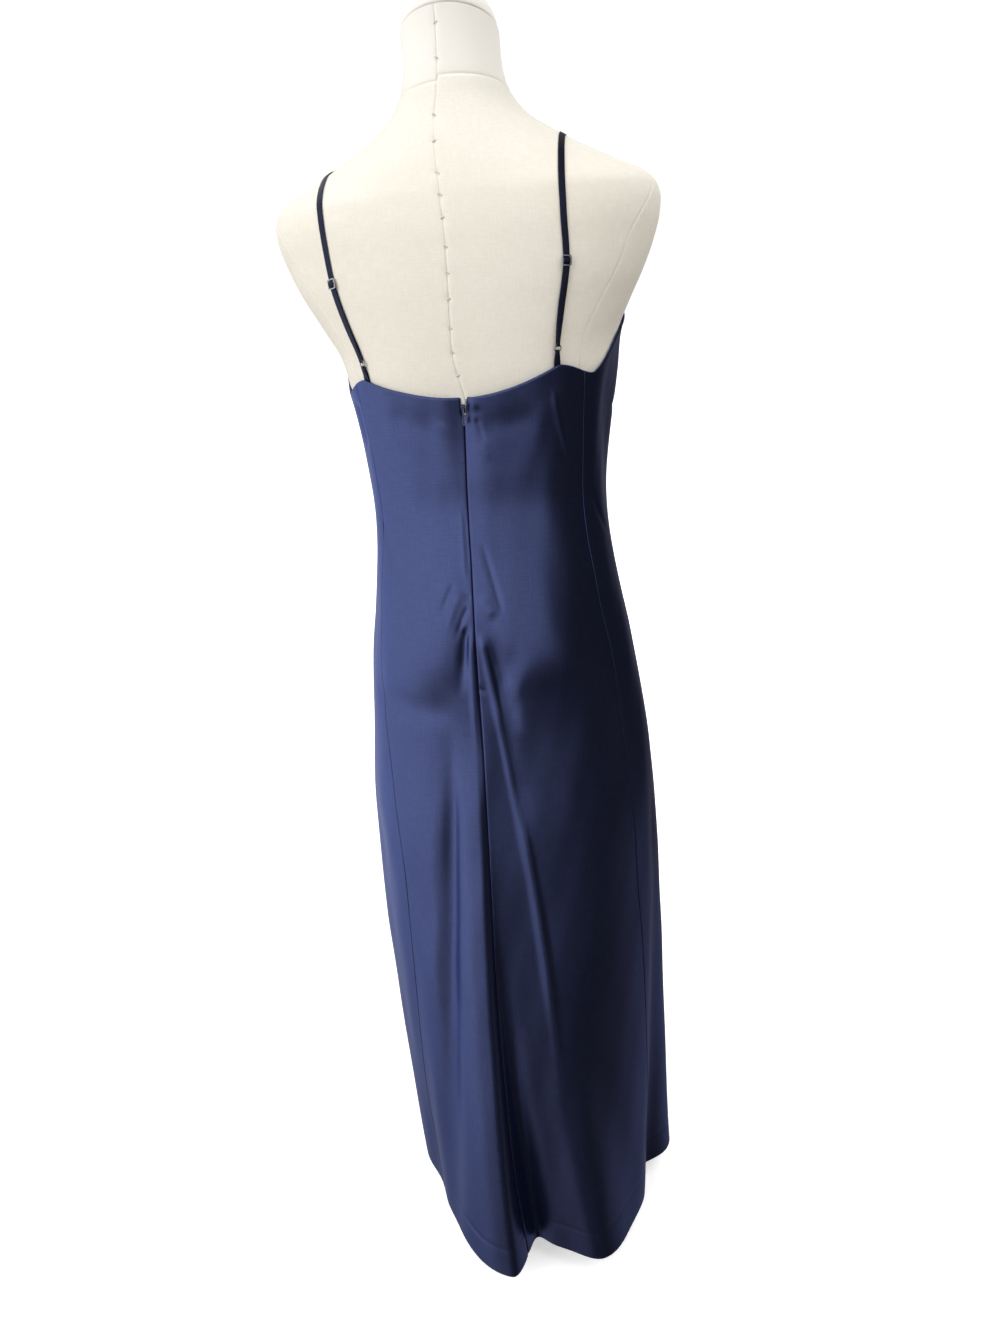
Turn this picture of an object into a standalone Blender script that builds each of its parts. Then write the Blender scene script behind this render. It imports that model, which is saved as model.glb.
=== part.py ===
"""A satin slip dress on a canvas dress form with a round stand.

Metres, +Z up.  The origin is the middle of the stand's underside, on the floor.
The figure faces -Y, so its back and the dress's zip are at +Y and its left side is at +X.
Angles round the figure are in degrees from the middle of the back, positive towards +X.
"""

from collections import namedtuple
from functools import partial
from math import cos, pi, radians, sin

import bmesh
import bpy
import numpy as np
from mathutils import Matrix

# ---------------------------------------------------------------- driving sizes

CLOTH = 0.0012            # wall of the dress
SEAM_GAP = 0.0003         # between pieces that are sewn or laid together
HEM_LEVEL = 0.030
SKIRT_TOP_LEVEL = 1.000   # below it the rows of the cloth are level
SKIRT_ROWS = 18
BODICE_ROWS = 7           # above it they fan out to the top edge
BACK_COLUMNS = 17
BACK_CROWD = 1.6          # above 1 the back's columns crowd towards the zip
FRONT_COLUMNS = 32

BACK_NECK_LEVEL = 1.096   # top edge at the centre back
FRONT_NECK_LEVEL = 1.140  # lowest point of the front neckline
BUST_POINT_LEVEL = 1.210  # tip of the front where the strap is sewn
BUST_POINT_ANGLE = 146.0
BUST_POINT_HALF = 1.3     # half the flat top of that tip, in degrees
ARM_EDGE_BEND = 1.15      # above 1 the edge from the arm to the tip dips
NECKLINE_BEND = 0.8       # below 1 the edge from the tip to the middle bows out

ZIP_END_ROW = 14          # row of the cloth where the zip's tape ends
ZIP_TAPE_COLUMNS = 3      # columns of the cloth that the tape backs
ZIP_TAPE = 0.0010
ZIP_TAPE_GAP = 0.0005
ZIP_OPEN_LEVEL = 1.0800   # the back's edges part above it, round the slider
ZIP_OPEN_LENGTH = 0.0040
ZIP_OPENING = 0.0056      # width at the slider
ZIP_TOP_OPENING = 0.0066  # width at the top edge

SLIDER_LEVEL = 1.0855     # middle of the zip's slider
SLIDER_WIDTH = 0.0044
SLIDER_HEIGHT = 0.0086
SLIDER_THICKNESS = 0.0016
SLIDER_OUT = 0.0004       # the slider's outer face stands this far out of the cloth
PIN_RADIUS = 0.0004
PIN_OUT = 0.0015          # from the slider's face to the pin's axis
PIN_UP = 0.0022           # from the slider's middle to the pin's axis
EAR_THICKNESS = 0.0007
EAR_HEIGHT = 0.0024
EAR_RIM = 0.0003          # metal outside the pin
EAR_ROOT = 0.0002         # the ears start this deep in the slider
EYE_RADIUS = 0.00115
EYE_BORE = 0.0007
EYE_WIDTH = 0.0022
PULL_LENGTH = 0.0180
PULL_WIDTH = 0.0042
PULL_THICKNESS = 0.0009
PULL_NECK_LENGTH = 0.0040
PULL_SHOULDER = 0.68      # where it is full width and where its round end starts,
PULL_END = 0.80           # as shares of its length
PULL_ROUNDNESS = 1.6      # length of the round end in half widths
PULL_INSET = 0.0001       # its neck is this much narrower than the eye and starts inside it

STRAP_WIDTH = 0.0065
STRAP = 0.0008            # thickness of the flat strap
STRAP_CLEARANCE = 0.0005  # under the strap, whose route crosses the form's flats
STRAP_AT_RING = 0.0034    # width where it is gathered through the ring
RING_GAP = 0.0005         # between the ring's wire and the ribbon round it
RING_RADIUS = 0.0034
RING_WIRE = 0.0006
LOOP_LENGTH = 0.0155      # from the back's top edge to the ring's middle
BUCKLE_WIDTH = 0.0090
BUCKLE_HEIGHT = 0.0096
BUCKLE_BAR = 0.0010
BUCKLE_THICKNESS = 0.0009
BUCKLE_CORNER = 0.0016
SLOT_CORNER = 0.0005

CLOTH_LIFT = 0.0038       # middle of the dress's wall at the straps, above the form
TUCK = 0.0060             # the straps' sewn ends reach this far below the top edge, inside it
TUCK_GAP = 0.0004         # between the sewn ends and the cloth
LOOP_TUCK_GAP = 0.0009    # between the ring loops and the cloth
STRAP_SETTLES = 0.030     # above its front end the strap comes down to the form over this
STRAP_TOP_LEVEL = 1.320   # about where a strap crosses the shoulder
SHOULDER_STEPS = 16       # stations from there down to each end
STRAP_END = 0.0003        # the strap's sewn end lies this far below the buckle's middle

BASE_RADIUS = 0.126
BASE_EDGE = 0.008         # thickness of the disc's edge
BASE_CROWN = 0.014        # thickness beside the hub
EDGE_ROUND = 0.004
HUB_RADIUS = 0.024
HUB_TOP = 0.060
HUB_FILLET = 0.006
HUB_CHAMFER = 0.002
POLE_RADIUS = 0.016
POLE_SEAT = 0.010         # floor of the socket in the base
FORM_SOCKET = 0.040       # depth of the socket in the form's underside
FORM_COLUMNS = 40

Section = namedtuple("Section", "level half_width back front square")

# The form, from its underside to the seam of the neck cap.
FORM = [
    Section(0.690, 0.1340, 0.100, 0.088, 2.2),
    Section(0.696, 0.1395, 0.106, 0.093, 2.2),
    Section(0.720, 0.1455, 0.115, 0.100, 2.2),
    Section(0.760, 0.1480, 0.123, 0.106, 2.2),
    Section(0.810, 0.1460, 0.129, 0.110, 2.2),
    Section(0.860, 0.1380, 0.1285, 0.109, 2.2),
    Section(0.910, 0.1270, 0.113, 0.104, 2.3),
    Section(0.960, 0.1180, 0.095, 0.099, 2.3),
    Section(1.000, 0.1175, 0.090, 0.100, 2.4),
    Section(1.040, 0.1220, 0.096, 0.107, 2.5),
    Section(1.080, 0.1295, 0.1085, 0.117, 2.6),
    Section(1.110, 0.1355, 0.1135, 0.124, 2.6),
    Section(1.140, 0.1430, 0.1150, 0.127, 2.5),
    Section(1.170, 0.1600, 0.1155, 0.122, 2.3),
    Section(1.200, 0.1770, 0.1150, 0.112, 2.2),
    Section(1.230, 0.1900, 0.1130, 0.101, 2.1),
    Section(1.255, 0.1965, 0.1095, 0.092, 2.1),
    Section(1.270, 0.1965, 0.1060, 0.086, 2.1),
    Section(1.283, 0.1900, 0.1020, 0.080, 2.1),
    Section(1.292, 0.1780, 0.0985, 0.076, 2.0),
    Section(1.300, 0.1600, 0.0950, 0.072, 2.0),
    Section(1.310, 0.1400, 0.0905, 0.067, 2.0),
    Section(1.322, 0.1160, 0.0845, 0.062, 2.0),
    Section(1.334, 0.0950, 0.0775, 0.057, 2.0),
    Section(1.346, 0.0760, 0.0695, 0.052, 2.0),
    Section(1.358, 0.0630, 0.0620, 0.048, 2.0),
    Section(1.372, 0.0540, 0.0560, 0.045, 2.0),
    Section(1.390, 0.0490, 0.0520, 0.043, 2.0),
    Section(1.412, 0.0475, 0.0500, 0.042, 2.0),
    Section(1.424, 0.0475, 0.0500, 0.042, 2.0),
]
NECK_LEVEL = 1.320        # the neck's rings tilt above it, higher at the back
NECK_TILT = 0.34

# The cap on the neck, above that seam.
CAP = [
    Section(0.000, 0.0470, 0.0495, 0.0415, 2.0),
    Section(0.010, 0.0450, 0.0475, 0.0395, 2.0),
    Section(0.018, 0.0395, 0.0420, 0.0340, 2.0),
    Section(0.023, 0.0300, 0.0325, 0.0245, 2.0),
    Section(0.026, 0.0160, 0.0185, 0.0110, 2.0),
]

# The dress's outer side without its folds, from the hem up.
DRESS = [
    Section(0.030, 0.1680, 0.1720, 0.1640, 2.0),
    Section(0.120, 0.1685, 0.1703, 0.1610, 2.0),
    Section(0.220, 0.1700, 0.1678, 0.1575, 2.0),
    Section(0.330, 0.1715, 0.1632, 0.1535, 2.0),
    Section(0.440, 0.1725, 0.1572, 0.1490, 2.05),
    Section(0.540, 0.1720, 0.1508, 0.1440, 2.05),
    Section(0.620, 0.1700, 0.1455, 0.1390, 2.1),
    Section(0.690, 0.1655, 0.1412, 0.1340, 2.1),
    Section(0.740, 0.1605, 0.1390, 0.1300, 2.15),
    Section(0.780, 0.1555, 0.1385, 0.1270, 2.2),
    Section(0.820, 0.1495, 0.1390, 0.1240, 2.2),
    Section(0.860, 0.1420, 0.1350, 0.1210, 2.2),
    Section(0.900, 0.1355, 0.1285, 0.1190, 2.3),
    Section(0.940, 0.1305, 0.1175, 0.1180, 2.35),
    Section(0.980, 0.1280, 0.1106, 0.1190, 2.4),
    Section(1.020, 0.1285, 0.1110, 0.1230, 2.5),
    Section(1.060, 0.1310, 0.1126, 0.1260, 2.6),
    Section(1.100, 0.1370, 0.1168, 0.1285, 2.6),
    Section(1.140, 0.1470, 0.1220, 0.1305, 2.5),
    Section(1.180, 0.1700, 0.1205, 0.1230, 2.3),
    Section(1.220, 0.1900, 0.1195, 0.1090, 2.2),
]

Mound = namedtuple("Mound", "level angle height level_reach angle_reach")

# Soft fullness on each side of the figure, in the form and the dress alike.
MOUNDS = [
    Mound(1.115, 142.0, 0.017, 0.060, 24.0),
    Mound(1.085, 106.0, 0.012, 0.085, 17.0),
    Mound(0.850, 30.0, 0.006, 0.060, 20.0),
]

Fold = namedtuple("Fold", "top_level top_angle mid_angle hem_angle mid_height hem_height "
                          "left_reach right_reach lean")

# The skirt's folds: ridges have a height above nought and troughs one below it.
# A fold starts at its top level.  Its middle is halfway from there to the hem.
FOLDS = [
    Fold(0.800, 7.0, 12.0, 11.5, 0.021, 0.045, 24.0, 7.0, 0.36),
    Fold(0.815, 4.0, 5.0, 2.0, -0.001, -0.020, 5.0, 8.0, 0.0),
    Fold(0.790, 18.0, 29.0, 40.0, -0.010, -0.004, 9.0, 8.0, 0.0),
    Fold(0.900, 2.5, -13.0, -26.0, 0.001, 0.032, 10.5, 16.0, 0.0),
    Fold(0.720, -80.0, -80.0, -74.0, -0.008, -0.026, 13.0, 9.0, 0.0),
    Fold(0.760, -93.0, -96.0, -95.0, 0.004, 0.010, 12.0, 13.0, 0.0),
    Fold(0.560, 50.0, 56.0, 62.0, -0.004, -0.010, 12.0, 14.0, 0.0),
    Fold(0.760, 84.0, 86.0, 91.0, 0.010, 0.009, 15.0, 14.0, 0.0),
    Fold(0.600, 112.0, 116.0, 118.0, -0.006, -0.016, 10.0, 12.0, 0.0),
    Fold(0.720, 150.0, 144.0, 140.0, 0.009, 0.027, 14.0, 13.0, 0.0),
    Fold(0.680, 172.0, 170.0, 167.0, -0.006, -0.018, 12.0, 10.0, 0.0),
    Fold(0.760, -166.0, -161.0, -158.0, 0.010, 0.031, 12.0, 15.0, 0.0),
    Fold(0.600, -136.0, -130.0, -127.0, -0.006, -0.019, 12.0, 12.0, 0.0),
]
FOLD_START_SHARE = 0.35   # a fold's reach at its top, as a share of its reach at the hem

Seams = namedtuple("Seams", "level back left right")

# Where the long seams run, as angles: the centre back, and the back's two joins to the front.
SEAMS = [
    Seams(0.030, 5.5, 62.0, -64.0),
    Seams(0.160, 7.5, 61.0, -64.0),
    Seams(0.300, 8.0, 57.0, -63.0),
    Seams(0.450, 7.5, 52.0, -62.0),
    Seams(0.550, 6.5, 51.0, -61.5),
    Seams(0.660, 5.5, 54.0, -61.0),
    Seams(0.800, 4.5, 57.0, -59.0),
    Seams(0.900, 4.0, 57.0, -56.5),
    Seams(0.980, 4.5, 57.0, -56.5),
    Seams(1.040, 3.0, 56.0, -56.5),
    Seams(1.120, 0.0, 55.0, -55.0),
]

Side = namedtuple("Side", "sign foot_angle foot_level arm_angle arm_level slider_level")

# The two sides hang a little differently: where the strap meets the back's top edge,
# where that edge is lowest beside the arm, and where the strap's buckle sits.
SIDES = {
    "left": Side(1.0, 47.2, 1.1180, 74.0, 1.1000, 1.2100),
    "right": Side(-1.0, 42.3, 1.1190, 62.0, 1.1070, 1.2120),
}

StrapPoint = namedtuple("StrapPoint", "level left right")

# How far out the straps lie, on the back and on the front.
STRAP_BACK = [
    StrapPoint(1.110, 0.0990, 0.0895),
    StrapPoint(1.135, 0.1020, 0.0910),
    StrapPoint(1.170, 0.1140, 0.0970),
    StrapPoint(1.210, 0.1235, 0.1045),
    StrapPoint(1.250, 0.1270, 0.1045),
    StrapPoint(1.310, 0.1300, 0.1040),
    StrapPoint(1.340, 0.1300, 0.1040),
]
STRAP_FRONT = [
    StrapPoint(1.190, 0.0640, 0.0665),
    StrapPoint(1.210, 0.0724, 0.0724),
    StrapPoint(1.240, 0.0885, 0.0820),
    StrapPoint(1.280, 0.1120, 0.0950),
    StrapPoint(1.310, 0.1290, 0.1030),
    StrapPoint(1.340, 0.1300, 0.1040),
]

# Heights above the form, to the middle of a ribbon's thickness.
LOW_LIFT = STRAP_CLEARANCE + STRAP / 2                 # a ribbon that lies on the form
HIGH_LIFT = LOW_LIFT + STRAP + SEAM_GAP                # one that lies on another
RING_LIFT = STRAP_CLEARANCE + STRAP + RING_GAP + RING_WIRE
LAYER_REACH = RING_WIRE + RING_GAP + STRAP / 2         # from the ring's wire to a ribbon round it
BUCKLE_LOW = LOW_LIFT + STRAP / 2 + SEAM_GAP + BUCKLE_THICKNESS / 2
BUCKLE_HIGH = HIGH_LIFT + STRAP / 2 + SEAM_GAP + BUCKLE_THICKNESS / 2
BUCKLE_LIFT = (BUCKLE_LOW + BUCKLE_HIGH) / 2
TUCKED_LIFT = CLOTH_LIFT - CLOTH / 2 - TUCK_GAP - STRAP / 2
OVER_BAR = BUCKLE_LIFT + BUCKLE_THICKNESS / 2 + SEAM_GAP + STRAP / 2

Weave = namedtuple("Weave", "away over")

# The strap beside the buckle's middle bar: how far from the bar, and the share of the way over it.
WEAVE = [
    Weave(0.0050, 0.0),
    Weave(0.0036, 0.05),
    Weave(0.0024, 0.45),
    Weave(0.0012, 0.92),
    Weave(0.0, 1.0),
]
BUCKLE_APPROACH = 0.0075  # the strap is flat down to here above the bar
BUCKLE_LEAVE = 0.0065     # and from here below it

Gather = namedtuple("Gather", "share gathered")

# How ribbons narrow towards a ring, with the share of the way that is left to its wire.
STRAP_GATHER = [
    Gather(1.0, 0.0),
    Gather(0.8, 0.0),
    Gather(0.55, 0.0),
    Gather(0.35, 0.15),
    Gather(0.20, 0.5),
    Gather(0.08, 0.9),
]
LOOP_GATHER = [
    Gather(1.0, 0.0),
    Gather(0.65, 0.0),
    Gather(0.35, 0.3),
    Gather(0.15, 0.8),
]


# ---------------------------------------------------------------- shape of the form and the cloth

def through(rows, column, level):
    """A smooth curve through one column of a table, read at a level."""
    levels = np.array([row.level for row in rows])
    values = np.array([getattr(row, column) for row in rows])
    slopes = np.gradient(values, levels)
    level = np.clip(level, levels[0], levels[-1])
    low = np.clip(np.searchsorted(levels, level) - 1, 0, len(rows) - 2)
    span = levels[low + 1] - levels[low]
    t = (level - levels[low]) / span
    bend_low = slopes[low] * span
    bend_high = slopes[low + 1] * span
    rise = values[low + 1] - values[low]
    return values[low] + t * (bend_low + t * (3 * rise - 2 * bend_low - bend_high
                                              + t * (bend_low + bend_high - 2 * rise)))


def smooth_step(t):
    t = np.clip(t, 0.0, 1.0)
    return t * t * (3.0 - 2.0 * t)


def turn_between(angle, middle):
    """Signed degrees from middle to angle, the short way round."""
    return (angle - middle + 180.0) % 360.0 - 180.0


def section_radius(rows, angle, level):
    """Distance from the axis to a section's rim."""
    across = np.abs(np.sin(np.radians(angle))) / through(rows, "half_width", level)
    depth = np.where(np.cos(np.radians(angle)) > 0.0,
                     through(rows, "back", level), through(rows, "front", level))
    along = np.abs(np.cos(np.radians(angle))) / depth
    square = through(rows, "square", level)
    return (across ** square + along ** square) ** (-1.0 / square)


def mound_height(angle, level):
    height = 0.0
    for mound in MOUNDS:
        swell = np.exp(-((level - mound.level) / mound.level_reach) ** 2)
        left = np.exp(-(turn_between(angle, mound.angle) / mound.angle_reach) ** 2)
        right = np.exp(-(turn_between(angle, -mound.angle) / mound.angle_reach) ** 2)
        height = height + mound.height * swell * (left + right)
    return height


def fold_shift(angle, level):
    """How far the folds move the cloth outward, and sideways to its right."""
    outward = 0.0
    sideways = 0.0
    for fold in FOLDS:
        t = np.clip((fold.top_level - level) / (fold.top_level - HEM_LEVEL), 0.0, 1.0)
        middle = (fold.top_angle * (1 - t) * (1 - 2 * t) + fold.mid_angle * 4 * t * (1 - t)
                  + fold.hem_angle * t * (2 * t - 1))
        height = fold.mid_height * 4 * t * (1 - t) + fold.hem_height * t * (2 * t - 1)
        height = height * smooth_step(5.0 * t)
        turn = turn_between(angle, middle)
        reach = np.where(turn > 0.0, fold.left_reach, fold.right_reach)
        reach = reach * (FOLD_START_SHARE + (1.0 - FOLD_START_SHARE) * t)
        swell = height * np.exp(-(turn / reach) ** 2)
        outward = outward + swell
        sideways = sideways + fold.lean * swell
    return outward, sideways


def polar(radius, angle, level):
    return np.stack([radius * np.sin(np.radians(angle)),
                     radius * np.cos(np.radians(angle)),
                     np.broadcast_to(level, np.shape(radius * angle))], axis=-1)


def form_point(angle, level):
    radius = section_radius(FORM, angle, level) + mound_height(angle, level)
    point = polar(radius, angle, level)
    tilt = NECK_TILT * smooth_step((level - NECK_LEVEL) / (FORM[-1].level - NECK_LEVEL))
    point[..., 2] += tilt * point[..., 1]
    return point


def dress_outer(angle, level):
    outward, sideways = fold_shift(angle, level)
    radius = section_radius(DRESS, angle, level) + mound_height(angle, level) + outward
    turned = angle - np.degrees(sideways / radius)
    return polar(radius, turned, level)


def dress_point(angle, level, inward=0.0):
    """A point of the cloth's outer side, or one straight in from it."""
    step = 0.2
    rise = 0.002
    point = dress_outer(angle, level)
    around = dress_outer(angle - step, level) - dress_outer(angle + step, level)
    upward = dress_outer(angle, level + rise) - dress_outer(angle, level - rise)
    normal = np.cross(around, upward)
    normal /= np.linalg.norm(normal, axis=-1, keepdims=True)
    return point - inward * normal


def top_edge(angle):
    """Level of the cloth's top edge."""
    turn = turn_between(angle, 0.0)
    left, right = SIDES["left"], SIDES["right"]
    foot_angle = np.where(turn > 0.0, left.foot_angle, right.foot_angle)
    foot_level = np.where(turn > 0.0, left.foot_level, right.foot_level)
    arm_angle = np.where(turn > 0.0, left.arm_angle, right.arm_angle)
    arm_level = np.where(turn > 0.0, left.arm_level, right.arm_level)
    turn = np.abs(turn)
    back = BACK_NECK_LEVEL + (foot_level - BACK_NECK_LEVEL) * (turn / foot_angle) ** 2
    along = smooth_step((turn - foot_angle) / (arm_angle - foot_angle))
    side = foot_level + (arm_level - foot_level) * along
    tip_start = BUST_POINT_ANGLE - BUST_POINT_HALF
    tip_end = BUST_POINT_ANGLE + BUST_POINT_HALF
    rising = np.clip((turn - arm_angle) / (tip_start - arm_angle), 0.0, 1.0)
    bust = arm_level + (BUST_POINT_LEVEL - arm_level) * rising ** ARM_EDGE_BEND
    falling = np.clip((turn - tip_end) / (180.0 - tip_end), 0.0, 1.0)
    neck = BUST_POINT_LEVEL - (BUST_POINT_LEVEL - FRONT_NECK_LEVEL) * falling ** NECKLINE_BEND
    edge = np.where(turn < foot_angle, back, side)
    edge = np.where(turn > arm_angle, bust, edge)
    return np.where(turn > BUST_POINT_ANGLE, neck, edge)


# ---------------------------------------------------------------- helpers

def clear_scene():
    for item in list(bpy.data.objects):
        bpy.data.objects.remove(item, do_unlink=True)


def new_collection(name):
    collection = bpy.data.collections.new(name)
    bpy.context.scene.collection.children.link(collection)
    return collection


def keep(item, name, collection, material=None):
    """Name an object, give it its material and move it to its collection."""
    item.name = name
    item.data.name = name
    for old in list(item.users_collection):
        old.objects.unlink(item)
    collection.objects.link(item)
    if material is not None:
        item.data.materials.clear()
        item.data.materials.append(material)
    return item


def plain_material(name, colour, roughness, metallic=0.0):
    material = bpy.data.materials.new(name)
    material.use_nodes = True
    surface = material.node_tree.nodes["Principled BSDF"]
    surface.inputs["Base Color"].default_value = (*colour, 1.0)
    surface.inputs["Roughness"].default_value = roughness
    surface.inputs["Metallic"].default_value = metallic
    return material


def mapped_grid(columns, rows, place):
    """A grid whose every point goes to place(across, up), both from 0 to 1."""
    bpy.ops.mesh.primitive_grid_add(x_subdivisions=columns, y_subdivisions=rows, size=1.0)
    item = bpy.context.object
    flat = np.array([vertex.co[:2] for vertex in item.data.vertices]) + 0.5
    item.data.vertices.foreach_set("co", place(flat[:, 0], flat[:, 1]).ravel())
    item.data.update()
    return item


def mapped_wall(columns, rows, outer, inner):
    """A closed wall between two mapped surfaces."""
    item = mapped_grid(columns, rows, outer)
    flat = mapped_grid(columns, rows, inner)
    inner_points = [vertex.co.copy() for vertex in flat.data.vertices]
    bpy.data.objects.remove(flat, do_unlink=True)
    mesh = bmesh.new()
    mesh.from_mesh(item.data)
    number = mesh.verts.layers.int.new("number")
    for vertex in mesh.verts:
        vertex[number] = vertex.index
    made = bmesh.ops.extrude_face_region(mesh, geom=mesh.faces[:], use_keep_orig=True)
    for vertex in made["geom"]:
        if isinstance(vertex, bmesh.types.BMVert):
            vertex.co = inner_points[vertex[number]]
    bmesh.ops.recalc_face_normals(mesh, faces=mesh.faces)
    mesh.to_mesh(item.data)
    mesh.free()
    return item


def close_tube(item):
    """Join a grid's first and last columns and fill its two open ends."""
    mesh = bmesh.new()
    mesh.from_mesh(item.data)
    bmesh.ops.remove_doubles(mesh, verts=mesh.verts, dist=1e-5)
    rims = [edge for edge in mesh.edges if edge.is_boundary]
    bmesh.ops.holes_fill(mesh, edges=rims)
    bmesh.ops.recalc_face_normals(mesh, faces=mesh.faces)
    mesh.to_mesh(item.data)
    mesh.free()


def boolean(item, other, operation, cutters):
    keep(other, item.name + "_" + operation.lower(), cutters)
    other.hide_render = True
    other.display_type = "WIRE"
    cut = item.modifiers.new(operation.lower(), "BOOLEAN")
    cut.operation = operation
    cut.object = other


def cylinder(radius, length, middle, axis="Z", vertices=32):
    turn = {"X": (0.0, pi / 2, 0.0), "Y": (pi / 2, 0.0, 0.0), "Z": (0.0, 0.0, 0.0)}[axis]
    bpy.ops.mesh.primitive_cylinder_add(radius=radius, depth=length, vertices=vertices,
                                        location=middle, rotation=turn)
    return bpy.context.object


def block(size, middle):
    bpy.ops.mesh.primitive_cube_add(size=1.0, location=middle, scale=size)
    return bpy.context.object


# ---------------------------------------------------------------- the form and its stand

def build_form(parts, cutters, canvas):
    levels = [FORM[0].level]
    widest_step = 0.021
    for low, high in zip(FORM, FORM[1:]):
        if high.level - low.level > widest_step:
            levels.append((low.level + high.level) / 2)
        levels.append(high.level)
    levels = np.array(levels)

    def place(across, up):
        level = levels[np.rint(up * (len(levels) - 1)).astype(int)]
        return form_point(-360.0 * across, level)

    form = mapped_grid(FORM_COLUMNS, len(levels) - 1, place)
    close_tube(form)
    keep(form, "form_body", parts, canvas)
    below = 0.001
    depth = FORM_SOCKET + below
    socket = cylinder(POLE_RADIUS + SEAM_GAP, depth, (0, 0, FORM[0].level - below + depth / 2))
    boolean(form, socket, "DIFFERENCE", cutters)

    def place_cap(across, up):
        row = np.rint(up * (len(CAP) - 1)).astype(int)
        rise = np.array([section.level for section in CAP])[row]
        angle = -360.0 * across
        point = polar(section_radius(CAP, angle, rise), angle, FORM[-1].level + SEAM_GAP + rise)
        point[..., 2] += NECK_TILT * point[..., 1]
        return point

    cap = mapped_grid(FORM_COLUMNS, len(CAP) - 1, place_cap)
    close_tube(cap)
    keep(cap, "form_neck_cap", parts, canvas)


def build_stand(parts, steel):
    bottom = POLE_SEAT + SEAM_GAP
    top = FORM[0].level + FORM_SOCKET - SEAM_GAP
    pole = cylinder(POLE_RADIUS, top - bottom, (0, 0, (top + bottom) / 2))
    keep(pole, "form_pole", parts, steel)

    bore = POLE_RADIUS + SEAM_GAP
    half_way = (HUB_RADIUS + BASE_RADIUS) / 2
    profile = [
        (0.0, POLE_SEAT),
        (bore, POLE_SEAT),
        (bore, HUB_TOP),
        (HUB_RADIUS - HUB_CHAMFER, HUB_TOP),
        (HUB_RADIUS, HUB_TOP - HUB_CHAMFER),
        (HUB_RADIUS, BASE_CROWN + HUB_FILLET),
        (HUB_RADIUS + HUB_FILLET, BASE_CROWN),
        (half_way, BASE_CROWN - (BASE_CROWN - BASE_EDGE) / 4),
        (BASE_RADIUS - EDGE_ROUND, BASE_EDGE),
        (BASE_RADIUS, BASE_EDGE - EDGE_ROUND),
        (BASE_RADIUS, 0.0),
        (0.0, 0.0),
    ]
    mesh = bpy.data.meshes.new("form_base")
    points = [(x, 0.0, z) for x, z in profile]
    mesh.from_pydata(points, [(i, i + 1) for i in range(len(points) - 1)], [])
    base = bpy.data.objects.new("form_base", mesh)
    bpy.context.scene.collection.objects.link(base)
    keep(base, "form_base", parts, steel)
    turn = base.modifiers.new("turn", "SCREW")
    turn.steps = 40
    turn.render_steps = 40
    turn.use_merge_vertices = True
    turn.merge_threshold = 0.00001
    turn.use_smooth_shade = True


# ---------------------------------------------------------------- the dress

def cloth_level(angle, up):
    """Rows are level up to SKIRT_TOP_LEVEL and then fan out to the top edge."""
    row = up * (SKIRT_ROWS + BODICE_ROWS)
    skirt = HEM_LEVEL + (SKIRT_TOP_LEVEL - HEM_LEVEL) * row / SKIRT_ROWS
    share = (row - SKIRT_ROWS) / BODICE_ROWS
    bodice = SKIRT_TOP_LEVEL + (top_edge(angle) - SKIRT_TOP_LEVEL) * share
    return np.where(row <= SKIRT_ROWS, skirt, bodice)


def half_opening(level):
    """Half the width between the two backs, which part above the zip's slider."""
    parting = smooth_step((level - ZIP_OPEN_LEVEL + ZIP_OPEN_LENGTH) / ZIP_OPEN_LENGTH)
    widening = np.clip((level - ZIP_OPEN_LEVEL) / (BACK_NECK_LEVEL - ZIP_OPEN_LEVEL), 0.0, 1.0)
    opening = SEAM_GAP / 2 + parting * (ZIP_OPENING - SEAM_GAP) / 2
    return opening + widening * (ZIP_TOP_OPENING - ZIP_OPENING) / 2


def seam_angle(seam, level, away):
    """Angle of a seam, moved along the cloth by a distance."""
    angle = through(SEAMS, seam, level)
    return angle + np.degrees(away / section_radius(DRESS, angle, level))


def front_share(across):
    """The front's columns pass through both ends of each tip and through its middle."""
    top_seam = SEAMS[-1].left
    tips = [BUST_POINT_ANGLE - BUST_POINT_HALF, BUST_POINT_ANGLE + BUST_POINT_HALF]
    angles = [360.0 - top_seam] + [360.0 - tip for tip in tips] + [180.0] + tips[::-1] + [top_seam]
    columns = [0, 10, 11, 16, 21, 22, FRONT_COLUMNS]
    turn = np.interp(across * FRONT_COLUMNS, columns, angles)
    return (angles[0] - turn) / (angles[0] - angles[-1])


def back_share(across, foot_angle, foot_column):
    """One of a back's columns passes through the foot of its strap, and the rest crowd to the zip."""
    foot = 1.0 - foot_angle / SEAMS[-1].left
    column = across * BACK_COLUMNS
    rest = np.clip((column - foot_column) / (BACK_COLUMNS - foot_column), 0.0, 1.0)
    beyond = foot + (1.0 - foot) * (1.0 - (1.0 - rest) ** BACK_CROWD)
    return np.where(column < foot_column, foot * column / foot_column, beyond)


def panel_place(start, end, share_of):
    """Points of one cut piece, whose columns run from start's angle to end's."""
    def place(across, up, inward=0.0):
        share = share_of(across)
        level = cloth_level(start(SKIRT_TOP_LEVEL) * (1 - share) + end(SKIRT_TOP_LEVEL) * share, up)
        for _ in range(3):
            angle = start(level) + (end(level) - start(level)) * share
            level = cloth_level(angle, up)
        angle = start(level) + (end(level) - start(level)) * share
        return dress_point(angle, level, inward)

    return place


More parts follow.
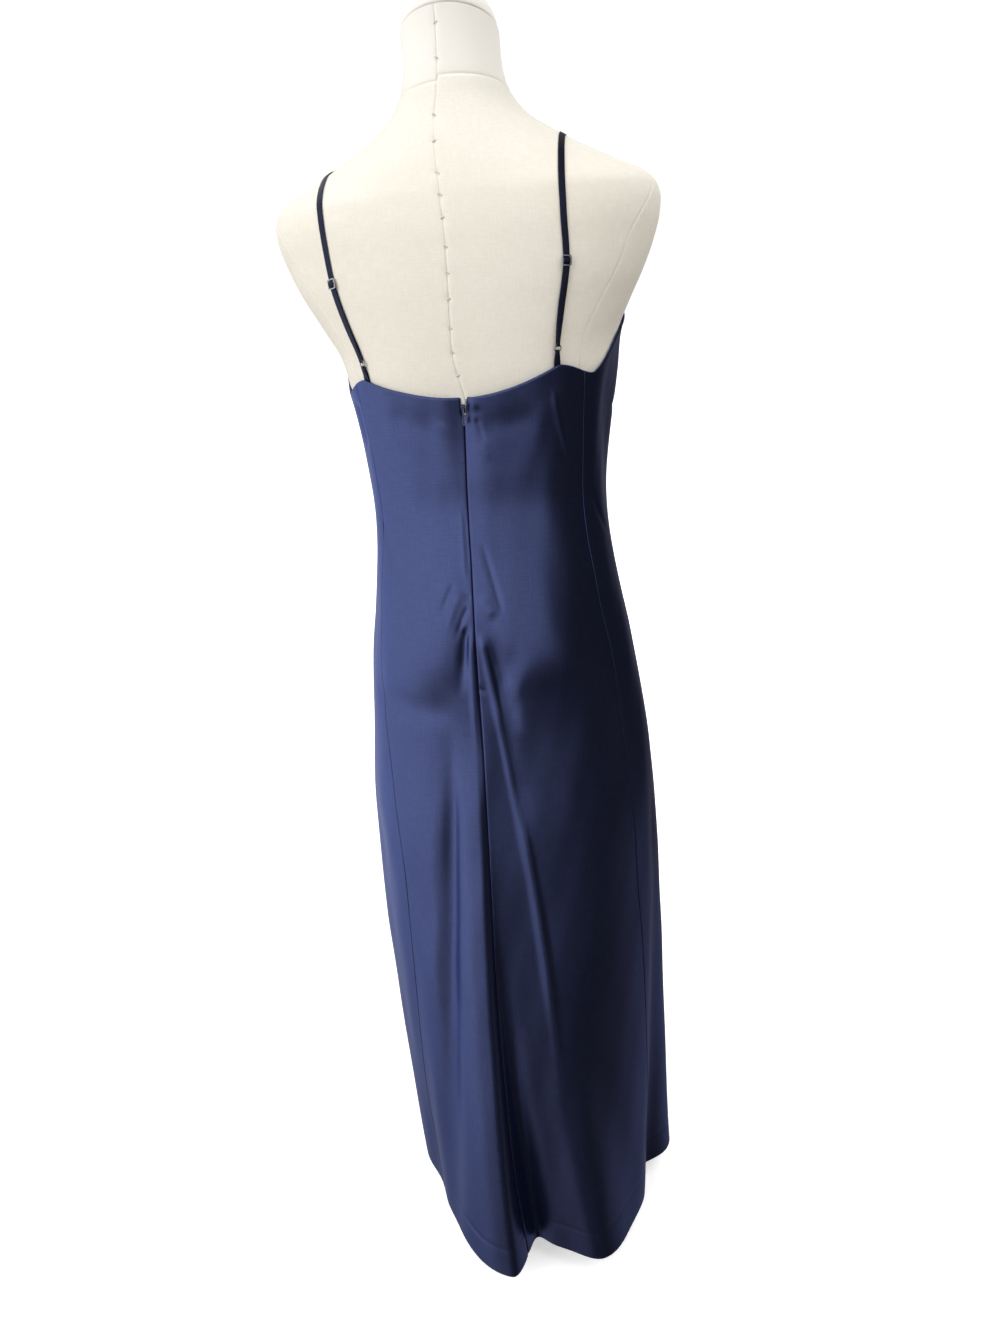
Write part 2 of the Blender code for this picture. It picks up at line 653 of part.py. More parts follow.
def build_dress(parts, satin, tape_cloth):
    gap = SEAM_GAP / 2

    def front_right(level):
        return seam_angle("right", level, -gap) + 360.0

    def front_left(level):
        return seam_angle("left", level, gap)

    def back_left(level):
        return seam_angle("left", level, -gap)

    def back_right(level):
        return seam_angle("right", level, gap)

    def left_zip_edge(level):
        return seam_angle("back", level, half_opening(level))

    def right_zip_edge(level):
        return seam_angle("back", level, -half_opening(level))

    left_share = partial(back_share, foot_angle=SIDES["left"].foot_angle, foot_column=2)
    right_share = partial(back_share, foot_angle=SIDES["right"].foot_angle, foot_column=3)
    rows = SKIRT_ROWS + BODICE_ROWS
    pieces = [
        ("dress_front", FRONT_COLUMNS, panel_place(front_right, front_left, front_share)),
        ("dress_back_left", BACK_COLUMNS, panel_place(back_left, left_zip_edge, left_share)),
        ("dress_back_right", BACK_COLUMNS, panel_place(back_right, right_zip_edge, right_share)),
    ]
    for name, columns, place in pieces:
        cloth = mapped_wall(columns, rows, place, partial(place, inward=CLOTH))
        keep(cloth, name, parts, satin)

    # The zip's tape backs the columns beside the opening, made from the same points.
    for name, columns, back in pieces[1:]:
        def tape(across, up, inward):
            column = 1.0 - (1.0 - across) * ZIP_TAPE_COLUMNS / BACK_COLUMNS
            row = (ZIP_END_ROW + (rows - ZIP_END_ROW) * up) / rows
            return back(column, row, inward)

        outer = CLOTH + ZIP_TAPE_GAP
        strip = mapped_wall(ZIP_TAPE_COLUMNS, rows - ZIP_END_ROW, partial(tape, inward=outer),
                            partial(tape, inward=outer + ZIP_TAPE))
        keep(strip, name.replace("dress_back", "zip_tape"), parts, tape_cloth)


def slider_place():
    """A point of the cloth at the slider's middle, and the lean of the cloth there."""
    angle = through(SEAMS, "back", SLIDER_LEVEL)
    here = dress_point(angle, SLIDER_LEVEL)
    above = dress_point(angle, SLIDER_LEVEL + SLIDER_HEIGHT / 2)
    lean = np.arctan2(above[1] - here[1], above[2] - here[2])
    return here, float(lean)


def build_zip_slider(parts, cutters, metal):
    here, lean = slider_place()
    hub = bpy.data.objects.new("zip_slider_place", None)
    parts.objects.link(hub)
    hub.location = here
    hub.rotation_euler = (-lean, 0.0, 0.0)

    slider = block((SLIDER_WIDTH, SLIDER_THICKNESS, SLIDER_HEIGHT),
                   (0, SLIDER_OUT - SLIDER_THICKNESS / 2, 0))
    keep(slider, "zip_slider", parts, metal)
    ear_x = EYE_WIDTH / 2 + SEAM_GAP + EAR_THICKNESS / 2
    ear_end = PIN_OUT + PIN_RADIUS + EAR_RIM
    ear_y = SLIDER_OUT + (ear_end - EAR_ROOT) / 2
    ear = (EAR_THICKNESS, ear_end + EAR_ROOT, EAR_HEIGHT)
    pieces = [block(ear, (x, ear_y, PIN_UP)) for x in (-ear_x, ear_x)]
    pieces.append(cylinder(PIN_RADIUS, 2 * ear_x, (0, SLIDER_OUT + PIN_OUT, PIN_UP), "X", 12))
    for number, piece in enumerate(pieces):
        boolean(slider, piece, "UNION", cutters)
        piece.name = "zip_slider_piece_%d" % number
        piece.parent = hub
    slider.parent = hub


def pin_place():
    here, lean = slider_place()
    out = SLIDER_OUT + PIN_OUT
    return (here[0],
            here[1] + out * cos(lean) + PIN_UP * sin(lean),
            here[2] - out * sin(lean) + PIN_UP * cos(lean))


def pull_outline():
    """Half of the tab's outline, from the eye down to the middle of its round end."""
    neck = EYE_WIDTH / 2 - PULL_INSET
    half = PULL_WIDTH / 2
    shape = [
        (neck, -EYE_BORE - PULL_INSET),
        (neck, -PULL_NECK_LENGTH),
        (half, -PULL_LENGTH * PULL_SHOULDER),
    ]
    for turn in range(0, 91, 18):
        down = PULL_LENGTH * PULL_END + half * PULL_ROUNDNESS * sin(radians(turn))
        shape.append((half * cos(radians(turn)), -down))
    return shape


def build_zip_pull(parts, cutters, metal):
    """A drop-shaped tab that hangs from the slider's pin.  Its origin is on the pin's axis."""
    outline = bpy.data.curves.new("zip_pull", "CURVE")
    outline.dimensions = "2D"
    outline.fill_mode = "BOTH"
    outline.extrude = PULL_THICKNESS / 2
    right = pull_outline()
    points = right + [(-x, y) for x, y in reversed(right[:-1])]
    spline = outline.splines.new("POLY")
    spline.points.add(len(points) - 1)
    for point, (x, y) in zip(spline.points, points):
        point.co = (x, y, 0.0, 1.0)
    spline.use_cyclic_u = True
    flat = bpy.data.objects.new("zip_pull_outline", outline)
    bpy.context.scene.collection.objects.link(flat)
    flat.rotation_euler = (pi / 2, 0.0, 0.0)
    bpy.context.view_layer.update()
    graph = bpy.context.evaluated_depsgraph_get()
    mesh = bpy.data.meshes.new_from_object(flat.evaluated_get(graph))
    mesh.transform(flat.matrix_world)
    bpy.data.objects.remove(flat, do_unlink=True)
    work = bmesh.new()
    work.from_mesh(mesh)
    bmesh.ops.remove_doubles(work, verts=work.verts, dist=1e-6)
    bmesh.ops.recalc_face_normals(work, faces=work.faces)
    work.to_mesh(mesh)
    work.free()
    pull = bpy.data.objects.new("zip_pull", mesh)
    bpy.context.scene.collection.objects.link(pull)
    keep(pull, "zip_pull", parts, metal)
    pull.location = pin_place()
    eye = cylinder(EYE_RADIUS, EYE_WIDTH, (0, 0, 0), "X", 20)
    bore = cylinder(EYE_BORE, 2 * EYE_WIDTH, (0, 0, 0), "X", 20)
    for piece, operation in ((eye, "UNION"), (bore, "DIFFERENCE")):
        boolean(pull, piece, operation, cutters)
        piece.location = pull.location


# ---------------------------------------------------------------- straps

def form_surface(x, level, front):
    """Point and outward normal of the form at a distance from the middle plane."""
    quarter = np.linspace(90.0, 180.0 if front else 0.0, 181)
    rim = form_point(quarter, np.full_like(quarter, level))
    angle = float(np.interp(-abs(x), -rim[:, 0], quarter)) * np.sign(x)
    step = 0.3
    rise = 0.001
    here = form_point(np.array(angle), level)
    around = form_point(np.array(angle + step), level) - form_point(np.array(angle - step), level)
    upward = form_point(np.array(angle), level + rise) - form_point(np.array(angle), level - rise)
    normal = np.cross(upward, around)
    return here, normal / np.linalg.norm(normal)


def shoulder_level(x):
    """Level at which the form's side is x from the middle plane, on the top of the shoulder."""
    widest = max(FORM, key=lambda section: section.half_width)
    levels = np.linspace(FORM[-1].level, widest.level, 200)
    return float(np.interp(x, section_radius(FORM, 90.0, levels), levels))


def route_point(side, level, front=False):
    """Where a strap's middle line meets the form, the normal there and the way up the strap."""
    table = STRAP_FRONT if front else STRAP_BACK
    sign = SIDES[side].sign
    here, normal = form_surface(sign * float(through(table, side, level)), level, front)
    near = level - 0.002
    below, _ = form_surface(sign * float(through(table, side, near)), near, front)
    return here, normal, (here - below) / np.linalg.norm(here - below)


Station = namedtuple("Station", "level front lift gathered", defaults=(0.0,))


def round_the_ring(wire, upward):
    """Stations round the ring's wire, from outside it to inside it."""
    return [Station(wire + upward * LAYER_REACH * sin(radians(turn)), False,
                    RING_LIFT + LAYER_REACH * cos(radians(turn)), 1.0)
            for turn in range(0, 181, 30)]


def towards(low, high, share):
    return low + share * (high - low)


def build_strap(side, parts, satin):
    """From the front's tip over the shoulder, through the buckle, round the ring and back up."""
    top = shoulder_level(float(through(STRAP_BACK, side, STRAP_TOP_LEVEL)))
    buckle = SIDES[side].slider_level
    wire = SIDES[side].foot_level + LOOP_LENGTH + RING_RADIUS
    start = BUST_POINT_LEVEL
    end = buckle + BUCKLE_APPROACH
    span = buckle - BUCKLE_LEAVE - wire
    stations = [Station(start - TUCK, True, TUCKED_LIFT)]
    for t in np.linspace(0.0, 1.0, SHOULDER_STEPS):
        level = towards(start, top, sin(t * pi / 2))
        settled = float(smooth_step((level - start) / STRAP_SETTLES))
        stations.append(Station(level, True, towards(TUCKED_LIFT, LOW_LIFT, settled)))
    for t in np.linspace(0.0, 1.0, SHOULDER_STEPS)[1:]:
        stations.append(Station(towards(end, top, cos(t * pi / 2)), False, LOW_LIFT))
    for step in WEAVE:
        lift = towards(LOW_LIFT, OVER_BAR, step.over)
        stations.append(Station(buckle + step.away, False, lift))
    for step in reversed(WEAVE[:-1]):
        lift = towards(HIGH_LIFT, OVER_BAR, step.over)
        stations.append(Station(buckle - step.away, False, lift))
    for step in STRAP_GATHER:
        lift = towards(HIGH_LIFT, RING_LIFT + LAYER_REACH, step.gathered)
        stations.append(Station(wire + step.share * span, False, lift, step.gathered))
    stations += round_the_ring(wire, -1.0)
    for step in reversed(STRAP_GATHER):
        stations.append(Station(wire + step.share * span, False, LOW_LIFT, step.gathered))
    stations.append(Station(buckle - STRAP_END, False, LOW_LIFT))
    ribbon("strap_" + side, side, stations, -1.0, parts, satin)


def build_ring_loop(side, parts, satin):
    """From inside the back's top edge up round the ring and down again."""
    foot = SIDES[side].foot_level - TUCK
    wire = SIDES[side].foot_level + LOOP_LENGTH - RING_RADIUS
    outer = CLOTH_LIFT - CLOTH / 2 - LOOP_TUCK_GAP - STRAP / 2
    inner = outer - STRAP - SEAM_GAP
    stations = []
    for step in LOOP_GATHER:
        lift = towards(outer, RING_LIFT + LAYER_REACH, step.gathered)
        stations.append(Station(towards(wire, foot, step.share), False, lift, step.gathered))
    stations += round_the_ring(wire, 1.0)
    for step in reversed(LOOP_GATHER):
        lift = towards(inner, LOW_LIFT, step.gathered)
        stations.append(Station(towards(wire, foot, step.share), False, lift, step.gathered))
    ribbon("ring_loop_" + side, side, stations, 1.0, parts, satin)


def ribbon(name, side, stations, sag_way, parts, satin):
    """A flat ribbon through its stations.  Where it is gathered it sags across into the ring."""
    half = STRAP_AT_RING / 2
    full_sag = RING_RADIUS - (RING_RADIUS ** 2 - half ** 2) ** 0.5
    middles, across, widths, sags = [], [], [], []
    for station in stations:
        here, normal, way_up = route_point(side, station.level, station.front)
        over = np.cross(normal, way_up)
        middles.append(here + station.lift * normal)
        across.append(over / np.linalg.norm(over))
        widths.append(towards(STRAP_WIDTH, STRAP_AT_RING, station.gathered))
        sags.append(sag_way * station.gathered * full_sag * way_up)
    middles, across, sags = np.array(middles), np.array(across), np.array(sags)
    widths = np.array(widths)[:, None]

    def place(over, up):
        row = np.rint(up * (len(stations) - 1)).astype(int)
        side_way = (2.0 * over - 1.0)[:, None]
        return middles[row] + side_way * widths[row] / 2 * across[row] + side_way ** 2 * sags[row]

    strap = mapped_grid(2, len(stations) - 1, place)
    keep(strap, name, parts, satin)
    wall = strap.modifiers.new("wall", "SOLIDIFY")
    wall.thickness = STRAP
    wall.offset = 0.0


def stand_on_form(item, side, level, lift, lean=0.0):
    """Turn an item flat on the form, its Y up the strap, leaning by an angle about its X."""
    here, normal, way_up = route_point(side, level)
    across = np.cross(way_up, normal)
    across /= np.linalg.norm(across)
    upward = np.cross(normal, across)
    turn = Matrix((across, upward, normal)).transposed().to_4x4()
    place = Matrix.Translation(here + lift * normal)
    item.matrix_world = place @ turn @ Matrix.Rotation(lean, 4, "X")


def build_ring(side, parts, metal):
    bpy.ops.mesh.primitive_torus_add(major_radius=RING_RADIUS, minor_radius=RING_WIRE,
                                     major_segments=20, minor_segments=8)
    ring = keep(bpy.context.object, "strap_ring_" + side, parts, metal)
    stand_on_form(ring, side, SIDES[side].foot_level + LOOP_LENGTH, RING_LIFT)


def rounded_outline(curve, width, height, middle, corner):
    """Add a rectangle with round corners, its middle at a height, to a flat curve."""
    points = []
    for side_x, side_y, start in ((1, 1, 0), (-1, 1, 90), (-1, -1, 180), (1, -1, 270)):
        for turn in (0, 30, 60, 90):
            points.append((side_x * (width / 2 - corner) + corner * cos(radians(start + turn)),
                           middle + side_y * (height / 2 - corner)
                           + corner * sin(radians(start + turn))))
    spline = curve.splines.new("POLY")
    spline.points.add(len(points) - 1)
    for point, (x, y) in zip(spline.points, points):
        point.co = (x, y, 0.0, 1.0)
    spline.use_cyclic_u = True


def build_buckle(side, parts, metal):
    """A flat frame with two slots.  The strap weaves under, over and under its three bars."""
    name = "strap_buckle_" + side
    outline = bpy.data.curves.new(name, "CURVE")
    outline.dimensions = "2D"
    outline.fill_mode = "BOTH"
    outline.extrude = BUCKLE_THICKNESS / 2
    slot_width = BUCKLE_WIDTH - 2 * BUCKLE_BAR
    slot_height = (BUCKLE_HEIGHT - 3 * BUCKLE_BAR) / 2
    slot_middle = (slot_height + BUCKLE_BAR) / 2
    rounded_outline(outline, BUCKLE_WIDTH, BUCKLE_HEIGHT, 0.0, BUCKLE_CORNER)
    rounded_outline(outline, slot_width, slot_height, slot_middle, SLOT_CORNER)
    rounded_outline(outline, slot_width, slot_height, -slot_middle, SLOT_CORNER)
    frame = bpy.data.objects.new(name, outline)
    bpy.context.scene.collection.objects.link(frame)
    keep(frame, name, parts, metal)
    lean = -float(np.arctan2(BUCKLE_HIGH - BUCKLE_LOW, BUCKLE_HEIGHT - BUCKLE_BAR))
    stand_on_form(frame, side, SIDES[side].slider_level, BUCKLE_LIFT, lean)


# ---------------------------------------------------------------- the whole object

def main():
    clear_scene()
    parts = new_collection("slip dress on dress form")
    cutters = new_collection("cutters")

    build_form(parts, cutters, plain_material("canvas", (0.80, 0.76, 0.66), 0.85))
    build_stand(parts, plain_material("painted steel", (0.75, 0.74, 0.71), 0.45))

    satin = plain_material("navy satin", (0.035, 0.045, 0.13), 0.40)
    build_dress(parts, satin, plain_material("zip tape", (0.02, 0.026, 0.08), 0.75))
    navy_metal = plain_material("navy zip metal", (0.05, 0.06, 0.14), 0.35, 0.6)
    build_zip_slider(parts, cutters, navy_metal)
    build_zip_pull(parts, cutters, navy_metal)

    steel = plain_material("strap metal", (0.35, 0.35, 0.38), 0.25, 1.0)
    for side in SIDES:
        build_strap(side, parts, satin)
        build_ring_loop(side, parts, satin)
        build_ring(side, parts, steel)
        build_buckle(side, parts, steel)


main()
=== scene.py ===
"""A navy satin slip dress on a canvas dress form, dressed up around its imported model.

Metres, +Z up.  The figure faces -Y, so its back and the dress's zip are at +Y and its left
side is at +X.  Angles round the figure are in degrees from the middle of the back, positive
towards +X.
"""

from collections import namedtuple
from contextlib import contextmanager
from math import cos, pi, radians, sin

import bpy
import numpy as np
from mathutils import Matrix, Vector


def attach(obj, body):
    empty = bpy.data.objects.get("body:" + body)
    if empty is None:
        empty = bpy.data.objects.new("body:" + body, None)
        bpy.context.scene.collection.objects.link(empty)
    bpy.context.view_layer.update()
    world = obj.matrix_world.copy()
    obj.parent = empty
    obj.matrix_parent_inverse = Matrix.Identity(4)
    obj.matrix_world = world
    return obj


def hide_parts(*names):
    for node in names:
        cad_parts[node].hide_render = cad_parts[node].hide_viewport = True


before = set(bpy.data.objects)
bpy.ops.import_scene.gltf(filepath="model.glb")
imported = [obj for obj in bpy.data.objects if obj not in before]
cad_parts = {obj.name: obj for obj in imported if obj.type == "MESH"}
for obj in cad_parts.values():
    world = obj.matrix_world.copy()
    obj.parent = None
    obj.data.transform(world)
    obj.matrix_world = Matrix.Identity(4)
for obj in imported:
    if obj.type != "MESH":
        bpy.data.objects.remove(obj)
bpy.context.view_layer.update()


# ---------------------------------------------------------------- camera
# It stands close behind the figure at chest height and looks down at the dress.
# It is turned a little to one side, and tipped as a hand holds it.

CAMERA_AWAY = 1.12
CAMERA_HEIGHT = 1.19
CAMERA_TURN = 8.0
CAMERA_DOWN = 20.5
CAMERA_TIP = 5.0
CAMERA_LENS = 27.03
CAMERA_SHIFT = -0.00375

bpy.ops.object.camera_add(location=(-CAMERA_AWAY * sin(radians(CAMERA_TURN)),
                                    CAMERA_AWAY * cos(radians(CAMERA_TURN)),
                                    CAMERA_HEIGHT))
camera = bpy.context.object
camera.name = "camera"
camera.rotation_euler = (Matrix.Rotation(radians(180.0 + CAMERA_TURN), 3, "Z")
                         @ Matrix.Rotation(radians(90.0 - CAMERA_DOWN), 3, "X")
                         @ Matrix.Rotation(radians(-CAMERA_TIP), 3, "Z")).to_euler()
camera.data.lens = CAMERA_LENS
camera.data.shift_x = CAMERA_SHIFT
bpy.context.scene.camera = camera


# ---------------------------------------------------------------- torso
# The form's torso is a firm shell with canvas stretched over it. The canvas is cut in gores
# that are sewn together down the middle of the back, the sides and the front, and round the neck.

Section = namedtuple("Section", "level half_width back front square")

# From the underside to the seam of the neck cap.
FORM = [
    Section(0.690, 0.1340, 0.100, 0.088, 2.2),
    Section(0.696, 0.1395, 0.106, 0.093, 2.2),
    Section(0.720, 0.1455, 0.115, 0.100, 2.2),
    Section(0.760, 0.1480, 0.123, 0.106, 2.2),
    Section(0.810, 0.1460, 0.129, 0.110, 2.2),
    Section(0.860, 0.1380, 0.1285, 0.109, 2.2),
    Section(0.910, 0.1270, 0.113, 0.104, 2.3),
    Section(0.960, 0.1180, 0.095, 0.099, 2.3),
    Section(1.000, 0.1175, 0.090, 0.100, 2.4),
    Section(1.040, 0.1220, 0.096, 0.107, 2.5),
    Section(1.080, 0.1295, 0.1085, 0.117, 2.6),
    Section(1.110, 0.1355, 0.1135, 0.124, 2.6),
    Section(1.140, 0.1430, 0.1150, 0.127, 2.5),
    Section(1.170, 0.1600, 0.1155, 0.122, 2.3),
    Section(1.200, 0.1770, 0.1150, 0.112, 2.2),
    Section(1.230, 0.1900, 0.1130, 0.101, 2.1),
    Section(1.255, 0.1965, 0.1095, 0.092, 2.1),
    Section(1.270, 0.1965, 0.1060, 0.086, 2.1),
    Section(1.283, 0.1900, 0.1020, 0.080, 2.1),
    Section(1.292, 0.1780, 0.0985, 0.076, 2.0),
    Section(1.300, 0.1600, 0.0950, 0.072, 2.0),
    Section(1.310, 0.1400, 0.0905, 0.067, 2.0),
    Section(1.322, 0.1160, 0.0845, 0.062, 2.0),
    Section(1.334, 0.0950, 0.0775, 0.057, 2.0),
    Section(1.346, 0.0760, 0.0695, 0.052, 2.0),
    Section(1.358, 0.0630, 0.0620, 0.048, 2.0),
    Section(1.372, 0.0540, 0.0560, 0.045, 2.0),
    Section(1.390, 0.0490, 0.0520, 0.043, 2.0),
    Section(1.412, 0.0475, 0.0500, 0.042, 2.0),
    Section(1.424, 0.0475, 0.0500, 0.042, 2.0),
]
NECK_LEVEL = 1.320        # the neck's rings tilt above it, higher at the back
NECK_TILT = 0.34

Mound = namedtuple("Mound", "level angle height level_reach angle_reach")

# Soft fullness on each side of the figure, in the form and the dress alike.
MOUNDS = [
    Mound(1.115, 142.0, 0.017, 0.060, 24.0),
    Mound(1.085, 106.0, 0.012, 0.085, 17.0),
    Mound(0.850, 30.0, 0.006, 0.060, 20.0),
]

FormSeams = namedtuple("FormSeams", "level back side front")

# Where the canvas is sewn: the centre back, and the back and front edges of the side gores.
# Those edges meet at the shoulder's tip and go on to the neck as one seam.
FORM_SEAMS = [
    FormSeams(0.690, 0.0, 62.0, 118.0),
    FormSeams(0.900, 0.0, 60.0, 120.0),
    FormSeams(1.098, 0.5, 54.0, 124.0),
    FormSeams(1.135, 4.0, 54.5, 123.0),
    FormSeams(1.170, 3.6, 60.5, 118.0),
    FormSeams(1.203, 3.0, 66.5, 112.0),
    FormSeams(1.240, 2.8, 71.5, 107.0),
    FormSeams(1.265, 3.6, 78.0, 101.0),
    FormSeams(1.285, 4.6, 84.5, 95.0),
    FormSeams(1.300, 5.8, 87.5, 92.0),
    FormSeams(1.322, 7.8, 88.5, 91.5),
    FormSeams(1.345, 9.3, 88.5, 91.5),
    FormSeams(1.370, 7.8, 88.5, 91.5),
    FormSeams(1.400, 6.6, 88.5, 91.5),
    FormSeams(1.424, 6.0, 88.5, 91.5),
]
GORE_COLUMNS = 52
GORE_CROWD = 0.84         # how much a gore's columns crowd towards its seams
FORM_ROW = 0.0036         # between rows, along the side
NECK_SEAM_LEVEL = 1.369
NECK_SEAM_BELOW = 0.004   # rows are fine from here to above the seam
NECK_SEAM_ABOVE = 0.008
NECK_SEAM_ROWS = 22
FRONT_EDGES_END = 1.275   # the side gores' front edges fade out above it
FRONT_EDGES_FADE = 0.02
NECK_SEAM_STEP = 0.004    # the right half's seam is sewn this much higher at the centre back
SEAM_DEPTH = 0.0007
SEAM_REACH = 0.0009
EASE_HEIGHT = 0.0003      # canvas swells beside a seam
EASE_REACH = 0.0045
SOCKET_RADIUS = 0.0163    # for the pole, in the underside
SOCKET_DEPTH = 0.040
CUT_RADIUS = 0.15         # places on flat cloth are measured round it
CANVAS = (0.690, 0.660, 0.590)
CANVAS_AGED = (0.620, 0.560, 0.460)
CANVAS_PAINTED_LIGHT = (0.735, 0.718, 0.675)
PAINTED_LIGHT_LEVELS = (1.36, 1.41)       # painted highlight: the neck is painted brighter, from the first level to the second


def smooth_curve(levels, values, level):
    """A smooth curve through values at levels, read at a level."""
    levels = np.asarray(levels, float)
    values = np.asarray(values, float)
    slopes = np.gradient(values, levels)
    level = np.clip(level, levels[0], levels[-1])
    low = np.clip(np.searchsorted(levels, level) - 1, 0, len(levels) - 2)
    span = levels[low + 1] - levels[low]
    t = (level - levels[low]) / span
    bend_low = slopes[low] * span
    bend_high = slopes[low + 1] * span
    rise = values[low + 1] - values[low]
    return values[low] + t * (bend_low + t * (3 * rise - 2 * bend_low - bend_high
                                              + t * (bend_low + bend_high - 2 * rise)))


def through(rows, column, level):
    """A smooth curve through one column of a table."""
    return smooth_curve([row.level for row in rows], [getattr(row, column) for row in rows], level)


def smooth_step(t):
    t = np.clip(t, 0.0, 1.0)
    return t * t * (3.0 - 2.0 * t)


def turn_between(angle, middle):
    """Signed degrees from middle to angle, the short way round."""
    return (angle - middle + 180.0) % 360.0 - 180.0


def section_radius(rows, angle, level):
    """Distance from the axis to a section's rim."""
    across = np.abs(np.sin(np.radians(angle))) / through(rows, "half_width", level)
    depth = np.where(np.cos(np.radians(angle)) > 0.0,
                     through(rows, "back", level), through(rows, "front", level))
    along = np.abs(np.cos(np.radians(angle))) / depth
    square = through(rows, "square", level)
    return (across ** square + along ** square) ** (-1.0 / square)


def mound_height(angle, level):
    height = 0.0
    for mound in MOUNDS:
        swell = np.exp(-((level - mound.level) / mound.level_reach) ** 2)
        left = np.exp(-(turn_between(angle, mound.angle) / mound.angle_reach) ** 2)
        right = np.exp(-(turn_between(angle, -mound.angle) / mound.angle_reach) ** 2)
        height = height + mound.height * swell * (left + right)
    return height


def polar(radius, angle, level):
    return np.stack([radius * np.sin(np.radians(angle)),
                     radius * np.cos(np.radians(angle)),
                     np.broadcast_to(level, np.shape(radius * angle))], axis=-1)


def form_point(angle, level):
    radius = section_radius(FORM, angle, level) + mound_height(angle, level)
    point = polar(radius, angle, level)
    tilt = NECK_TILT * smooth_step((level - NECK_LEVEL) / (FORM[-1].level - NECK_LEVEL))
    point[..., 2] += tilt * point[..., 1]
    return point


def outward(points):
    """The normals of rows of points that run from left to right as seen from outside."""
    normal = np.cross(np.gradient(points, axis=1), np.gradient(points, axis=0))
    return normal / np.linalg.norm(normal, axis=-1, keepdims=True)


def surface(name, points, cut):
    """A sheet of faces through rows of points. cut is each point's place on the flat cloth."""
    rows, columns = points.shape[:2]
    bpy.ops.mesh.primitive_grid_add(x_subdivisions=columns - 1, y_subdivisions=rows - 1, size=1.0)
    item = bpy.context.object
    item.name = name
    item.data.name = name
    item.data.vertices.foreach_set("co", points.ravel())
    corners = np.empty(len(item.data.loops), int)
    item.data.loops.foreach_get("vertex_index", corners)
    item.data.uv_layers.active.data.foreach_set("uv", cut.reshape(-1, 2)[corners].ravel())
    item.data.update()
    bpy.ops.object.shade_smooth()
    return item


def flat_place(across, along):
    """Places on flat cloth, from distances across it and along it."""
    return np.stack(np.broadcast_arrays(across, along), axis=-1)


def crowded(count, crowd):
    """Shares from 0 to 1 that crowd towards both ends."""
    t = np.linspace(0.0, 1.0, count + 1)
    return t - crowd * np.sin(2.0 * pi * t) / (2.0 * pi)


def form_rows():
    """Levels of the torso's rows: even along its side, with more at the seam round the neck."""
    fine = np.linspace(FORM[0].level, FORM[-1].level, 2000)
    side = np.hypot(np.gradient(section_radius(FORM, 90.0, fine)), np.gradient(fine))
    along = np.cumsum(side)
    even = np.interp(np.arange(0.0, along[-1], FORM_ROW), along, fine)
    seam = NECK_SEAM_LEVEL + np.linspace(-NECK_SEAM_BELOW, NECK_SEAM_ABOVE,
                                         NECK_SEAM_ROWS)
    rows = np.concatenate([even[(even < seam[0]) | (even > seam[-1])], seam, [FORM[-1].level]])
    return np.unique(np.round(rows, 6))


def form_seam(distance, strength=1.0):
    """How far a seam lets the canvas in, and out again beside it."""
    groove = SEAM_DEPTH * np.exp(-(distance / SEAM_REACH) ** 2)
    ease = EASE_HEIGHT * np.exp(-((np.abs(distance) - EASE_REACH) / EASE_REACH) ** 2)
    return strength * (ease - groove)


form_levels = form_rows()[:, None]
back_seam = through(FORM_SEAMS, "back", form_levels)
side_seam = through(FORM_SEAMS, "side", form_levels)
front_seam = through(FORM_SEAMS, "front", form_levels)
seam_angles = [360.0 + back_seam, 360.0 - side_seam, 360.0 - front_seam,
               180.0 + 0.0 * form_levels, front_seam, side_seam, back_seam]
gores = []
for start, end in zip(seam_angles, seam_angles[1:]):
    share = crowded(GORE_COLUMNS, GORE_CROWD)
    gores.append((start + (end - start) * share)[:, :-1])
form_angles = np.hstack(gores + [seam_angles[-1]])
form_points = form_point(form_angles, form_levels)
form_normals = outward(form_points)
radius = np.hypot(form_points[..., 0], form_points[..., 1])
lift = 0.0
for seam, fades in zip(seam_angles[:-1], (False, False, True, False, True, False)):
    fading = smooth_step((form_levels - FRONT_EDGES_END) / FRONT_EDGES_FADE)
    strength = 1.0 - fading if fades else 1.0
    lift = lift + form_seam(np.radians(turn_between(form_angles, seam)) * radius, strength)
right_half = smooth_step(-turn_between(form_angles, back_seam) / 1.5 + 0.5)
behind = smooth_step(2.0 * np.cos(np.radians(form_angles)))
neck_seam = NECK_SEAM_LEVEL + NECK_SEAM_STEP * right_half * behind
lift = lift + form_seam(form_levels - neck_seam)

# The seam down the back is closed by hand, so a stitch pulls it in every inch or so.
STITCH_LEVELS = [1.117, 1.139, 1.161, 1.187, 1.210, 1.233, 1.258, 1.278, 1.297, 1.325, 1.345,
                 1.385, 1.410]
STITCH_REACH = 0.0032
STITCH_WIDTH = 0.0045
STITCH_PULL = 0.0009
STITCH_LEANS = (-0.15, 0.35, 0.35)
STITCH_ASIDE = 0.0010     # it pulls a little to one side of the seam
from_back = np.radians(turn_between(form_angles, back_seam)) * radius
for number, level in enumerate(STITCH_LEVELS):
    lean = STITCH_LEANS[number % 3]
    near = ((form_levels - level - lean * from_back) / STITCH_REACH) ** 2
    lift = lift - STITCH_PULL * np.exp(-near - ((from_back - STITCH_ASIDE) / STITCH_WIDTH) ** 2)

form_points = form_points + lift[..., None] * form_normals
torso = surface("torso_canvas", form_points,
                flat_place(np.radians(form_angles) * CUT_RADIUS, form_levels))


@contextmanager
def editing(action="SELECT"):
    """Edit mode on the active mesh, with all or none selected, or for None what was selected."""
    bpy.ops.object.mode_set(mode="EDIT")
    if action:
        bpy.ops.mesh.select_all(action=action)
    yield
    bpy.ops.object.mode_set(mode="OBJECT")


